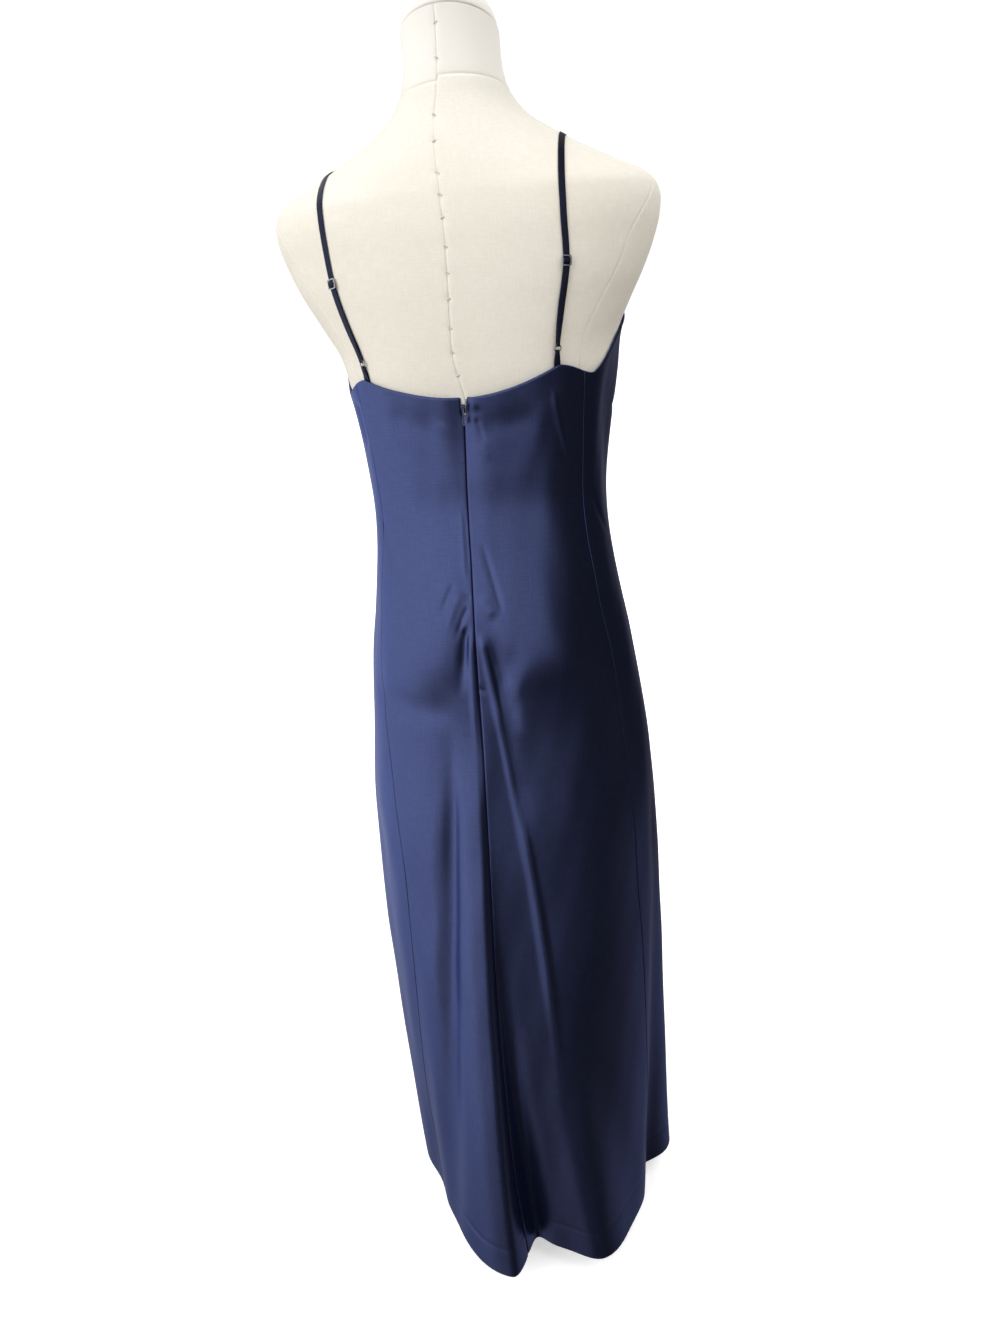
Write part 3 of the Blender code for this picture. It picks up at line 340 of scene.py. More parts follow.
def select_open_edges():
    bpy.ops.mesh.select_mode(type="EDGE")
    bpy.ops.mesh.select_all(action="DESELECT")
    bpy.ops.mesh.select_non_manifold(extend=False, use_wire=False, use_multi_face=False,
                                     use_non_contiguous=False, use_verts=False)


def select_rim(item, low, high):
    """Select the open edges of a mesh whose points lie between two levels."""
    with editing():
        select_open_edges()
    for edge in item.data.edges:
        ends = [item.data.vertices[i].co.z for i in edge.vertices]
        edge.select = edge.select and low < min(ends) and max(ends) < high


def shrink(across, along):
    """Scale what is selected towards the middle of the underside."""
    bpy.ops.transform.resize(value=(across, along, 1.0), center_override=(0.0, 0.0, FORM[0].level))


# The two side edges are joined, the neck is closed and the underside gets its rim and socket.
RIM_HEIGHT = 0.004
WELD = 0.00005
with editing():
    bpy.ops.mesh.remove_doubles(threshold=WELD)
select_rim(torso, low=1.38, high=1.60)
with editing(None):
    bpy.ops.mesh.fill_grid(span=GORE_COLUMNS)
select_rim(torso, low=0.60, high=0.75)
with editing(None):
    bpy.ops.mesh.extrude_edges_move()
    shrink(0.90, 0.90)
    bpy.ops.mesh.extrude_edges_move(TRANSFORM_OT_translate={"value": (0.0, 0.0, RIM_HEIGHT)})
    shrink(0.96, 0.96)
    bpy.ops.mesh.extrude_edges_move()
    shrink(0.30, 0.38)
for vertex in torso.data.vertices:
    if vertex.select:
        flat = Vector((vertex.co.x, vertex.co.y, 0.0)).normalized() * SOCKET_RADIUS
        vertex.co = (flat.x, flat.y, FORM[0].level + RIM_HEIGHT)
with editing(None):
    bpy.ops.mesh.extrude_edges_move(TRANSFORM_OT_translate={"value": (0.0, 0.0, SOCKET_DEPTH)})
    bpy.ops.mesh.edge_face_add()


def node_group(name, inputs, outputs):
    """An empty shader node group with named sockets, and its two end nodes."""
    group = bpy.data.node_groups.new(name, "ShaderNodeTree")
    for label, kind, value in inputs:
        socket = group.interface.new_socket(label, in_out="INPUT", socket_type=kind)
        if value is not None:
            socket.default_value = value
    for label, kind in outputs:
        group.interface.new_socket(label, in_out="OUTPUT", socket_type=kind)
    return group, group.nodes.new("NodeGroupInput"), group.nodes.new("NodeGroupOutput")


def math_node(tree, operation, first, second=None):
    """A Math node. Each side is a number or a socket."""
    node = tree.nodes.new("ShaderNodeMath")
    node.operation = operation
    for socket, value in zip(node.inputs, (first, second)):
        if isinstance(value, bpy.types.NodeSocket):
            tree.links.new(value, socket)
        elif value is not None:
            socket.default_value = value
    return node.outputs[0]


SLUB_WIDTH = 0.0011


def weave_group():
    """Plain-woven threads with slubs: a height for bump and a mask of uneven threads."""
    group, start, end = node_group(
        "woven threads",
        [("Cloth", "NodeSocketVector", None), ("Threads per metre", "NodeSocketFloat", 1000.0),
         ("Slub length", "NodeSocketFloat", 0.012)],
        [("Height", "NodeSocketFloat"), ("Slubs", "NodeSocketFloat")])
    parts = group.nodes.new("ShaderNodeSeparateXYZ")
    group.links.new(start.outputs["Cloth"], parts.inputs[0])
    turns = math_node(group, "MULTIPLY", start.outputs["Threads per metre"], pi)
    warp = math_node(group, "SINE", math_node(group, "MULTIPLY", parts.outputs[0], turns))
    weft = math_node(group, "SINE", math_node(group, "MULTIPLY", parts.outputs[1], turns))
    crossing = math_node(group, "MULTIPLY", warp, weft)
    slubs = []
    for along, across in ((0, 1), (1, 0)):
        stretch = group.nodes.new("ShaderNodeCombineXYZ")
        short = math_node(group, "DIVIDE", parts.outputs[across], SLUB_WIDTH)
        long = math_node(group, "DIVIDE", parts.outputs[along], start.outputs["Slub length"])
        group.links.new(short, stretch.inputs[across])
        group.links.new(long, stretch.inputs[along])
        noise = group.nodes.new("ShaderNodeTexNoise")
        noise.inputs["Scale"].default_value = 1.0
        noise.inputs["Detail"].default_value = 2.0
        group.links.new(stretch.outputs[0], noise.inputs["Vector"])
        slubs.append(noise.outputs["Fac"])
    both = math_node(group, "MULTIPLY", math_node(group, "ADD", slubs[0], slubs[1]), 0.5)
    height = math_node(group, "ADD", math_node(group, "MULTIPLY", crossing, 0.5), both)
    group.links.new(height, end.inputs["Height"])
    group.links.new(both, end.inputs["Slubs"])
    return group


WEAVE = weave_group()


def finish_nodes(name, roughness, colour=(0.5, 0.5, 0.5)):
    """A material with its Principled shader, ready for the finish's own nodes."""
    material = bpy.data.materials.new(name)
    material.use_nodes = True
    shader = material.node_tree.nodes["Principled BSDF"]
    shader.inputs["Roughness"].default_value = roughness
    shader.inputs["Base Color"].default_value = (*colour, 1.0)
    return material, material.node_tree, shader


def mixed_colour(tree, mask, first, second):
    """A colour between two, by a mask. Each is three numbers or a socket."""
    mix = tree.nodes.new("ShaderNodeMix")
    mix.data_type = "RGBA"
    tree.links.new(mask, mix.inputs[0])
    for socket, value in ((mix.inputs[6], first), (mix.inputs[7], second)):
        if isinstance(value, bpy.types.NodeSocket):
            tree.links.new(value, socket)
        else:
            socket.default_value = (*value, 1.0)
    return mix.outputs[2]


def shade(colour, share):
    return tuple(c * share for c in colour)


def colour_by(tree, shader, mask, first, second):
    """Colour a shader between two colours, by a mask."""
    tree.links.new(mixed_colour(tree, mask, first, second), shader.inputs["Base Color"])


def roughness_by(tree, shader, mask, low, rise):
    """A shader's roughness: low, and more by rise where the mask is 1."""
    rough = math_node(tree, "ADD", math_node(tree, "MULTIPLY", mask, rise), low)
    tree.links.new(rough, shader.inputs["Roughness"])


def mask_between(tree, value, low, high):
    """0 below low and 1 above high."""
    node = tree.nodes.new("ShaderNodeMapRange")
    node.interpolation_type = "SMOOTHSTEP"
    node.inputs["From Min"].default_value = low
    node.inputs["From Max"].default_value = high
    tree.links.new(value, node.inputs["Value"])
    return node.outputs["Result"]


def bump(tree, shader, height, distance, strength=1.0):
    node = tree.nodes.new("ShaderNodeBump")
    node.inputs["Strength"].default_value = strength
    node.inputs["Distance"].default_value = distance
    tree.links.new(height, node.inputs["Height"])
    tree.links.new(node.outputs[0], shader.inputs["Normal"])


def cloth_place(tree):
    return tree.nodes.new("ShaderNodeTexCoord").outputs["UV"]


def object_noise(tree, scale, detail=3.0):
    place = tree.nodes.new("ShaderNodeTexCoord")
    noise = tree.nodes.new("ShaderNodeTexNoise")
    noise.inputs["Scale"].default_value = scale
    noise.inputs["Detail"].default_value = detail
    tree.links.new(place.outputs["Object"], noise.inputs["Vector"])
    return noise.outputs["Fac"]


def woven(tree, threads, slub_length):
    node = tree.nodes.new("ShaderNodeGroup")
    node.node_tree = WEAVE
    node.inputs["Threads per metre"].default_value = threads
    node.inputs["Slub length"].default_value = slub_length
    tree.links.new(cloth_place(tree), node.inputs["Cloth"])
    return node


def canvas_finish():
    material, tree, shader = finish_nodes("canvas", 0.9)
    threads = woven(tree, 1100.0, 0.014)
    slub_mask = mask_between(tree, threads.outputs["Slubs"], 0.38, 0.66)
    colour = mixed_colour(tree, slub_mask, shade(CANVAS, 0.93), CANVAS)
    age = math_node(tree, "MULTIPLY",
                    mask_between(tree, object_noise(tree, 9.0), 0.48, 0.80), 0.30)
    colour = mixed_colour(tree, age, colour, CANVAS_AGED)
    specks = math_node(tree, "MULTIPLY",
                       mask_between(tree, object_noise(tree, 420.0, 1.0), 0.70, 0.76), 0.35)
    colour = mixed_colour(tree, specks, colour, CANVAS_AGED)
    # painted highlight: the canvas is painted brighter up the neck, where the light from above
    # falls strongest
    place = tree.nodes.new("ShaderNodeTexCoord")
    parts = tree.nodes.new("ShaderNodeSeparateXYZ")
    tree.links.new(place.outputs["Object"], parts.inputs[0])
    painted_light = mask_between(tree, parts.outputs["Z"], *PAINTED_LIGHT_LEVELS)
    colour_by(tree, shader, painted_light, colour, CANVAS_PAINTED_LIGHT)
    shader.inputs["Specular IOR Level"].default_value = 0.25
    shader.inputs["Sheen Weight"].default_value = 0.15
    bump(tree, shader, threads.outputs["Height"], 0.00025, 0.5)
    return material


canvas = canvas_finish()


def dressed(item, material, slot, *nodes, body="dressed_form"):
    """Give a finished piece its material and its body, and hide the nodes it stands for. The slot
    is not used.
    """
    item.data.materials.clear()
    item.data.materials.append(material)
    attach(item, body)
    if nodes:
        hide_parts(*nodes)
    return item


dressed(torso, canvas, "canvas", "form_body")


# ---------------------------------------------------------------- the back seam's stitches
# Short lengths of doubled cotton thread close the seam down the back of the canvas.
# Each lies across the seam, a little aslant, and its ends go down through the weave.

THREAD_RADIUS = 0.00045
THREAD_REACH = 0.0030
THREAD_ACROSS = 0.75      # how far it goes across the seam, where a lean is how far up it
THREAD_LEANS = (-0.25, 0.55, 0.55)
THREAD_ABOVE = 0.0001     # its middle, above the canvas
THREAD_DOWN = 0.0011      # its ends go down by this
THREAD_COLOUR = (0.54, 0.49, 0.41)


def form_frame(angle, level, away=0.0):
    """A point over the torso, and the ways across, up and out there."""
    step, rise = 0.3, 0.001   # half the spans that it looks over, in degrees and metres
    here = form_point(np.array(angle), level)
    across = form_point(np.array(angle + step), level) - form_point(np.array(angle - step), level)
    up = form_point(np.array(angle), level + rise) - form_point(np.array(angle), level - rise)
    out = np.cross(up, across)
    across, up, out = (way / np.linalg.norm(way) for way in (across, up, out))
    return here + away * out, across, up, out


def only(item):
    """Make an item the one that is selected and active."""
    bpy.ops.object.select_all(action="DESELECT")
    bpy.context.view_layer.objects.active = item
    item.select_set(True)


def curve_through(name, routes, dimensions="3D", closed=False):
    """A curve of straight steps along routes of points."""
    curve = bpy.data.curves.new(name, "CURVE")
    curve.dimensions = dimensions
    for route in routes:
        spline = curve.splines.new("POLY")
        spline.points.add(len(route) - 1)
        for point, place in zip(spline.points, route):
            point.co = (*place, 1.0)
        spline.use_cyclic_u = closed
    return curve


def mesh_from(curve):
    item = bpy.data.objects.new(curve.name, curve)
    bpy.context.scene.collection.objects.link(item)
    only(item)
    bpy.ops.object.convert(target="MESH")
    return bpy.context.object


stitches = []
for number, level in enumerate(STITCH_LEVELS):
    lean = THREAD_LEANS[number % 3]
    route = []
    for t in np.linspace(-1.0, 1.0, 7):
        away = THREAD_ABOVE - THREAD_DOWN * abs(t) ** 3
        angle = float(through(FORM_SEAMS, "back", level))
        place, across, up, out = form_frame(angle, level, away)
        route.append(place + t * THREAD_REACH * (THREAD_ACROSS * across + lean * up))
    stitches.append(route)
curve = curve_through("form_stitches", stitches)
curve.bevel_depth = THREAD_RADIUS
curve.bevel_resolution = 3
curve.use_fill_caps = True
thread = mesh_from(curve)
with editing():
    bpy.ops.mesh.remove_doubles(threshold=THREAD_RADIUS / 50.0)
    bpy.ops.mesh.normals_make_consistent(inside=False)
bpy.ops.object.shade_smooth()


def thread_finish():
    material, tree, shader = finish_nodes("cotton thread", 0.8)
    twist = object_noise(tree, 1500.0)
    colour_by(tree, shader, twist, shade(THREAD_COLOUR, 0.8), THREAD_COLOUR)
    bump(tree, shader, twist, 0.0001)
    return material


dressed(thread, thread_finish(), "canvas")


# ---------------------------------------------------------------- neck cap
# A padded disc covered in the same canvas closes the top of the neck.
# Its rounded edge is sewn to the torso's canvas.

CAP = [
    Section(0.000, 0.0470, 0.0495, 0.0415, 2.0),
    Section(0.010, 0.0450, 0.0475, 0.0395, 2.0),
    Section(0.018, 0.0395, 0.0420, 0.0340, 2.0),
    Section(0.023, 0.0300, 0.0325, 0.0245, 2.0),
    Section(0.026, 0.0160, 0.0185, 0.0110, 2.0),
]
CAP_GAP = 0.0003
CAP_COLUMNS = 120
CAP_ROWS = 26
CAP_EDGE_ROLL = 0.0016
CAP_EDGE_REACH = 0.0012

cap_angles = np.linspace(360.0, 0.0, CAP_COLUMNS + 1)[None, :]
cap_rises = (CAP[-1].level * np.linspace(0.0, 1.0, CAP_ROWS + 1) ** 0.9)[:, None]
cap_radius = section_radius(CAP, cap_angles, cap_rises)
cap_radius = cap_radius - CAP_EDGE_ROLL * np.exp(-(cap_rises / CAP_EDGE_REACH) ** 2)
cap_points = polar(cap_radius, cap_angles, FORM[-1].level + CAP_GAP + cap_rises)
cap_points[..., 2] += NECK_TILT * cap_points[..., 1]
cap = surface("neck_cap_canvas", cap_points,
              flat_place(cap_radius * np.sin(np.radians(cap_angles)),
                         cap_radius * np.cos(np.radians(cap_angles))))
with editing():
    bpy.ops.mesh.remove_doubles(threshold=WELD)
    select_open_edges()
    bpy.ops.mesh.edge_face_add()
dressed(cap, canvas, "canvas", "form_neck_cap")


# ---------------------------------------------------------------- stand
# A steel tube stands in the hub of a round base and goes up into the torso.
# Both are painted a warm white.

BASE_RADIUS = 0.126
POLE_RADIUS = 0.016
POLE_SEAT = 0.010
STAND_GAP = 0.0003
HUB_TOP = 0.060
PAINT = (0.74, 0.73, 0.69)

Step = namedtuple("Step", "radius level")

# The base's outline from the floor up and in to the pole's seat.
BASE = [
    Step(BASE_RADIUS, 0.0),
    Step(BASE_RADIUS, 0.004),
    Step(BASE_RADIUS - 0.004, 0.008),
    Step(0.075, 0.0125),
    Step(0.030, 0.014),
    Step(0.0257, 0.0157),
    Step(0.024, 0.020),
    Step(0.024, HUB_TOP - 0.002),
    Step(0.022, HUB_TOP),
    Step(POLE_RADIUS + STAND_GAP, HUB_TOP),
    Step(POLE_RADIUS + STAND_GAP, POLE_SEAT),
]
ROUND = 128


def paint_finish():
    material, tree, shader = finish_nodes("painted steel", 0.42)
    wear = mask_between(tree, object_noise(tree, 60.0), 0.35, 0.75)
    colour_by(tree, shader, wear, shade(PAINT, 0.93), PAINT)
    bump(tree, shader, object_noise(tree, 900.0), 0.0001, 0.4)
    shader.inputs["Coat Weight"].default_value = 0.2
    return material


def bevelled(item, width, segments=2, angle=35.0, smooth=40.0):
    """Round a mesh's edges over, and shade it smooth up to an angle."""
    only(item)
    edge = item.modifiers.new("edges", "BEVEL")
    edge.width = width
    edge.segments = segments
    edge.limit_method = "ANGLE"
    edge.angle_limit = radians(angle)
    bpy.ops.object.modifier_apply(modifier="edges")
    bpy.ops.object.shade_smooth_by_angle(angle=radians(smooth))
    return item


paint = paint_finish()

bpy.ops.mesh.primitive_circle_add(vertices=ROUND, radius=BASE[0].radius, fill_type="NGON")
base = bpy.context.object
base.name = "stand_base"
with editing():
    bpy.ops.mesh.flip_normals()
    for low, high in zip(BASE, BASE[1:]):
        bpy.ops.mesh.extrude_region_move(
            TRANSFORM_OT_translate={"value": (0.0, 0.0, high.level - low.level)})
        scale = high.radius / low.radius
        bpy.ops.transform.resize(value=(scale, scale, 1.0), center_override=(0.0, 0.0, high.level))
with editing():
    bpy.ops.mesh.normals_make_consistent(inside=False)
dressed(bevelled(base, 0.0012, 3), paint, "painted_steel", "form_base")

pole_bottom = POLE_SEAT + STAND_GAP
pole_top = FORM[0].level + SOCKET_DEPTH - STAND_GAP
bpy.ops.mesh.primitive_cylinder_add(vertices=96, radius=POLE_RADIUS, depth=pole_top - pole_bottom,
                                    location=(0.0, 0.0, (pole_top + pole_bottom) / 2.0))
pole = bpy.context.object
pole.name = "stand_pole"
bpy.ops.object.transform_apply(location=True, rotation=True, scale=True)
dressed(bevelled(pole, 0.001, angle=30.0), paint, "painted_steel", "form_pole")


# ---------------------------------------------------------------- dress
# One front and two backs of navy satin, cut with flare and sewn at the sides. The backs meet at
# a zip. Top edges are turned in, and the hem is turned up and blind-stitched.

CLOTH = 0.0012
SEAM_GAP = 0.0003
HEM_LEVEL = 0.030
SKIRT_TOP_LEVEL = 1.000   # below it the rows of the cloth are level
BACK_NECK_LEVEL = 1.096
FRONT_NECK_LEVEL = 1.140
BUST_POINT_LEVEL = 1.210
BUST_POINT_ANGLE = 146.0
BUST_POINT_HALF = 1.3
ARM_EDGE_BEND = 1.15
NECKLINE_BEND = 0.8
ZIP_OPEN_LEVEL = 1.0800
ZIP_OPEN_LENGTH = 0.0040
ZIP_OPENING = 0.0050
ZIP_TOP_OPENING = 0.0060

# The dress's outer side without its folds, from the hem up.
DRESS = [
    Section(0.030, 0.1680, 0.1720, 0.1640, 2.0),
    Section(0.120, 0.1685, 0.1703, 0.1610, 2.0),
    Section(0.220, 0.1700, 0.1678, 0.1575, 2.0),
    Section(0.330, 0.1715, 0.1632, 0.1535, 2.0),
    Section(0.440, 0.1725, 0.1572, 0.1490, 2.05),
    Section(0.540, 0.1720, 0.1508, 0.1440, 2.05),
    Section(0.620, 0.1700, 0.1455, 0.1390, 2.1),
    Section(0.690, 0.1655, 0.1412, 0.1340, 2.1),
    Section(0.740, 0.1605, 0.1390, 0.1300, 2.15),
    Section(0.780, 0.1555, 0.1385, 0.1270, 2.2),
    Section(0.820, 0.1495, 0.1390, 0.1240, 2.2),
    Section(0.860, 0.1420, 0.1350, 0.1210, 2.2),
    Section(0.900, 0.1355, 0.1285, 0.1190, 2.3),
    Section(0.940, 0.1305, 0.1175, 0.1180, 2.35),
    Section(0.980, 0.1280, 0.1106, 0.1190, 2.4),
    Section(1.020, 0.1285, 0.1110, 0.1230, 2.5),
    Section(1.060, 0.1310, 0.1126, 0.1260, 2.6),
    Section(1.100, 0.1370, 0.1168, 0.1285, 2.6),
    Section(1.140, 0.1470, 0.1220, 0.1305, 2.5),
    Section(1.180, 0.1700, 0.1205, 0.1230, 2.3),
    Section(1.220, 0.1900, 0.1195, 0.1090, 2.2),
]

Fold = namedtuple("Fold", "top_level top_angle mid_angle hem_angle mid_height hem_height "
                          "left_reach right_reach lean")

# The skirt's folds: ridges have a height above nought and troughs one below it.
# A fold starts at its top level.  Its middle is halfway from there to the hem.
FOLDS = [
    Fold(0.800, 7.0, 12.0, 11.5, 0.021, 0.045, 24.0, 7.0, 0.36),
    Fold(0.815, 4.0, 5.0, 2.0, -0.001, -0.020, 5.0, 8.0, 0.0),
    Fold(0.790, 18.0, 29.0, 40.0, -0.010, -0.004, 9.0, 8.0, 0.0),
    Fold(0.900, 2.5, -13.0, -26.0, 0.001, 0.032, 10.5, 16.0, 0.0),
    Fold(0.720, -80.0, -80.0, -74.0, -0.008, -0.026, 13.0, 9.0, 0.0),
    Fold(0.760, -93.0, -96.0, -95.0, 0.004, 0.010, 12.0, 13.0, 0.0),
    Fold(0.560, 50.0, 56.0, 62.0, -0.004, -0.010, 12.0, 14.0, 0.0),
    Fold(0.760, 84.0, 86.0, 91.0, 0.010, 0.009, 15.0, 14.0, 0.0),
    Fold(0.600, 112.0, 116.0, 118.0, -0.006, -0.016, 10.0, 12.0, 0.0),
    Fold(0.720, 150.0, 144.0, 140.0, 0.009, 0.027, 14.0, 13.0, 0.0),
    Fold(0.680, 172.0, 170.0, 167.0, -0.006, -0.018, 12.0, 10.0, 0.0),
    Fold(0.760, -166.0, -161.0, -158.0, 0.010, 0.031, 12.0, 15.0, 0.0),
    Fold(0.600, -136.0, -130.0, -127.0, -0.006, -0.019, 12.0, 12.0, 0.0),
]
FOLD_START_SHARE = 0.35

Seams = namedtuple("Seams", "level back left right")

SEAMS = [
    Seams(0.030, 5.5, 62.0, -64.0),
    Seams(0.160, 7.5, 61.0, -64.0),
    Seams(0.300, 8.0, 57.0, -63.0),
    Seams(0.450, 7.5, 52.0, -62.0),
    Seams(0.550, 6.5, 51.0, -61.5),
    Seams(0.660, 5.5, 54.0, -61.0),
    Seams(0.800, 4.5, 57.0, -59.0),
    Seams(0.900, 4.0, 57.0, -56.5),
    Seams(0.980, 4.5, 57.0, -56.5),
    Seams(1.040, 3.0, 56.0, -56.5),
    Seams(1.120, 0.0, 55.0, -55.0),
]

Side = namedtuple("Side", "sign foot_angle foot_level arm_angle arm_level buckle_level")

SIDES = {
    "left": Side(1.0, 47.2, 1.1180, 74.0, 1.1000, 1.2100),
    "right": Side(-1.0, 42.3, 1.1190, 62.0, 1.1070, 1.2120),
}

Crease = namedtuple("Crease", "from_angle from_level by_angle by_level to_angle to_level "
                              "height reach fade_in fade_out")

# Small creases in millimetres of height and reach: where each starts, what it passes and where
# it ends.  It fades in and out over shares of its length.
CREASES = [
    # the centre back dips between the shoulder blades, and the top edge turns out over it
    Crease(0.6, 1.110, 3.0, 1.040, 4.5, 0.940, -3.0, 11.0, 0.0, 0.6),
    Crease(40.0, 1.092, 27.0, 1.074, 8.0, 1.068, -0.8, 12.0, 0.3, 0.3),
    Crease(-6.0, 1.072, -20.0, 1.069, -38.0, 1.077, -0.7, 12.0, 0.3, 0.3),
    Crease(-2.0, 1.098, -3.6, 1.090, -5.0, 1.080, 1.4, 4.5, 0.0, 0.5),
    Crease(12.0, 1.074, 15.0, 1.068, 20.0, 1.062, 0.5, 9.0, 0.4, 0.4),
    Crease(-4.2, 1.078, -5.8, 1.065, -7.8, 1.050, -1.0, 3.0, 0.3, 0.5),
    Crease(-7.0, 1.056, -8.0, 1.044, -9.5, 1.030, 0.4, 5.0, 0.4, 0.4),
    Crease(-37.0, 1.092, -32.0, 1.052, -27.0, 1.005, 0.9, 10.0, 0.3, 0.4),
    Crease(-40.0, 1.098, -44.0, 1.055, -51.0, 1.012, 0.9, 2.6, 0.2, 0.4),
    # beside the zip
    Crease(8.4, 0.990, 7.8, 0.944, 6.8, 0.912, 0.8, 2.4, 0.3, 0.3),
    Crease(6.6, 0.990, 6.2, 0.950, 5.4, 0.915, -0.5, 1.6, 0.3, 0.3),
    Crease(5.0, 0.897, 7.0, 0.898, 10.0, 0.900, -1.3, 1.9, 0.1, 0.5),
    Crease(11.5, 0.912, 15.5, 0.899, 18.5, 0.876, -1.3, 3.0, 0.3, 0.4),
    Crease(8.0, 0.905, 13.0, 0.885, 16.5, 0.855, 1.2, 4.0, 0.3, 0.5),
    Crease(6.0, 0.888, 9.5, 0.874, 13.0, 0.850, -1.4, 2.4, 0.2, 0.3),
    Crease(7.5, 0.870, 9.8, 0.840, 12.6, 0.785, -3.4, 5.0, 0.3, 0.4),
    Crease(-1.0, 0.955, -4.5, 0.926, -9.5, 0.874, -1.5, 3.0, 0.5, 0.2),
    Crease(0.5, 0.900, -3.0, 0.886, -7.0, 0.878, 1.6, 8.0, 0.2, 0.4),
    Crease(-2.4, 0.862, -7.0, 0.800, -12.0, 0.740, -3.6, 9.0, 0.35, 0.4),
    Crease(3.0, 0.822, -6.0, 0.812, -15.0, 0.802, -3.6, 34.0, 0.0, 0.5),
    Crease(5.6, 0.872, 6.6, 0.810, 8.0, 0.700, 2.2, 4.0, 0.3, 0.4),
    Crease(1.6, 0.862, -4.0, 0.745, -10.0, 0.600, 3.2, 4.4, 0.08, 0.35),
    Crease(-7.0, 0.690, -13.6, 0.500, -16.0, 0.230, 4.2, 6.0, 0.25, 0.5),
    Crease(4.2, 0.800, 3.0, 0.795, 1.0, 0.792, -1.0, 1.8, 0.1, 0.5),
    # under the seat
    Crease(66.0, 0.775, 38.0, 0.771, 15.0, 0.777, -2.4, 17.0, 0.3, 0.25),
    # drag lines at the sides
    Crease(59.0, 0.980, 52.0, 0.938, 43.0, 0.862, -1.1, 3.2, 0.3, 0.4),
    Crease(60.0, 1.098, 61.0, 1.070, 60.0, 1.040, -2.6, 7.0, 0.2, 0.4),
    Crease(-62.0, 1.000, -70.0, 0.960, -82.0, 0.930, -1.2, 4.0, 0.3, 0.4),
    # the hem
    Crease(33.0, 0.074, 27.0, 0.075, 20.0, 0.070, -0.9, 2.6, 0.3, 0.4),
    # the front, which falls from the bust to the waist in uneven drags
    Crease(176.0, 1.130, 168.0, 1.110, 152.0, 1.104, -2.2, 7.0, 0.3, 0.4),
    Crease(-178.0, 1.104, -170.0, 1.086, -154.0, 1.080, -1.8, 8.0, 0.3, 0.4),
    Crease(146.0, 1.190, 158.0, 1.165, 174.0, 1.128, 1.0, 5.0, 0.3, 0.3),
    Crease(-146.0, 1.190, -157.0, 1.163, -172.0, 1.122, 1.2, 6.0, 0.3, 0.3),
    Crease(138.0, 1.060, 131.0, 1.010, 120.0, 0.955, -2.0, 6.0, 0.3, 0.5),
    Crease(-141.0, 1.056, -132.0, 0.990, -124.0, 0.930, -2.3, 7.0, 0.3, 0.5),
    Crease(120.0, 1.090, 108.0, 1.060, 94.0, 1.045, -1.6, 5.0, 0.3, 0.4),
    Crease(-118.0, 1.098, -107.0, 1.070, -92.0, 1.060, -1.8, 5.0, 0.3, 0.4),
    Crease(156.0, 1.040, 152.0, 0.960, 150.0, 0.860, -1.8, 9.0, 0.4, 0.5),
    Crease(-163.0, 1.020, -160.0, 0.930, -163.0, 0.820, -1.6, 10.0, 0.4, 0.5),
    Crease(112.0, 0.930, 128.0, 0.890, 148.0, 0.872, -1.6, 5.0, 0.4, 0.4),
    Crease(-108.0, 0.905, -126.0, 0.872, -140.0, 0.864, -1.4, 5.0, 0.4, 0.4),
    Crease(-150.0, 0.790, -128.0, 0.782, -100.0, 0.792, -1.8, 12.0, 0.4, 0.4),
    Crease(98.0, 0.790, 124.0, 0.778, 146.0, 0.784, -1.8, 12.0, 0.4, 0.4),
]
CREASE_STEPS = 14
CREASE_NEAR = 3.0         # a crease is felt this many reaches away
CREASE_NEAR_TURN = 2000.0         # and this many degrees round, for each metre of reach
CREASE_NEAR_SHARE = 0.75          # and this share of the turn that it spans

Ripple = namedtuple("Ripple", "height angle_waves level_waves shift")

# Faint unevenness all over, so that no part of the cloth is perfectly smooth.
RIPPLES = [
    Ripple(0.00030, 7.0, 26.0, 0.3),
    Ripple(0.00026, -11.0, 19.0, 2.1),
    Ripple(0.00014, 17.0, -37.0, 4.4),
    Ripple(0.00010, 26.0, 49.0, 1.2),
]
RIPPLE_SWAY = 1.3         # their waves sway to and fro up the cloth
RIPPLE_SWAY_WAVES = 9.0

SKIRT_ROW = 0.0031        # between rows of the skirt
BODICE_STEPS = 48
EDGE_STEPS = [0.060, 0.045, 0.032, 0.022, 0.014, 0.007, 0.0]   # shares of the bodice left above
HEM_STEPS = [0.0, 0.0005, 0.0010, 0.0016, 0.0023, 0.0031, 0.0042, 0.0056]
FRONT_COLUMNS = 190
BACK_COLUMNS = 104
FRONT_ACROSS = 0.62       # about how wide the front is, and each back
BACK_ACROSS = 0.17
SEAM_COLUMN = 0.0004      # the first column's width at a seam, and at the zip
ZIP_COLUMN = 0.0003
EDGE_GROWTH = 1.35        # columns grow by this from each edge of a piece
PANEL_PASSES = 4          # seams lean, so rows and columns are fitted to each other by turns
EDGE_ROLL = 0.0015
SEAM_ROLL = 0.0008
HEM_TURN = 0.042          # height of the turned-up hem
HEM_TURN_DENT = 0.00035
TOP_ROLL_REACH = 0.0018
HEM_ROLL_REACH = 0.0022


def passing(start, middle, end, t):
    """From start past middle to end, along a parabola."""
    return start * (1 - t) * (1 - 2 * t) + middle * 4 * t * (1 - t) + end * t * (2 * t - 1)


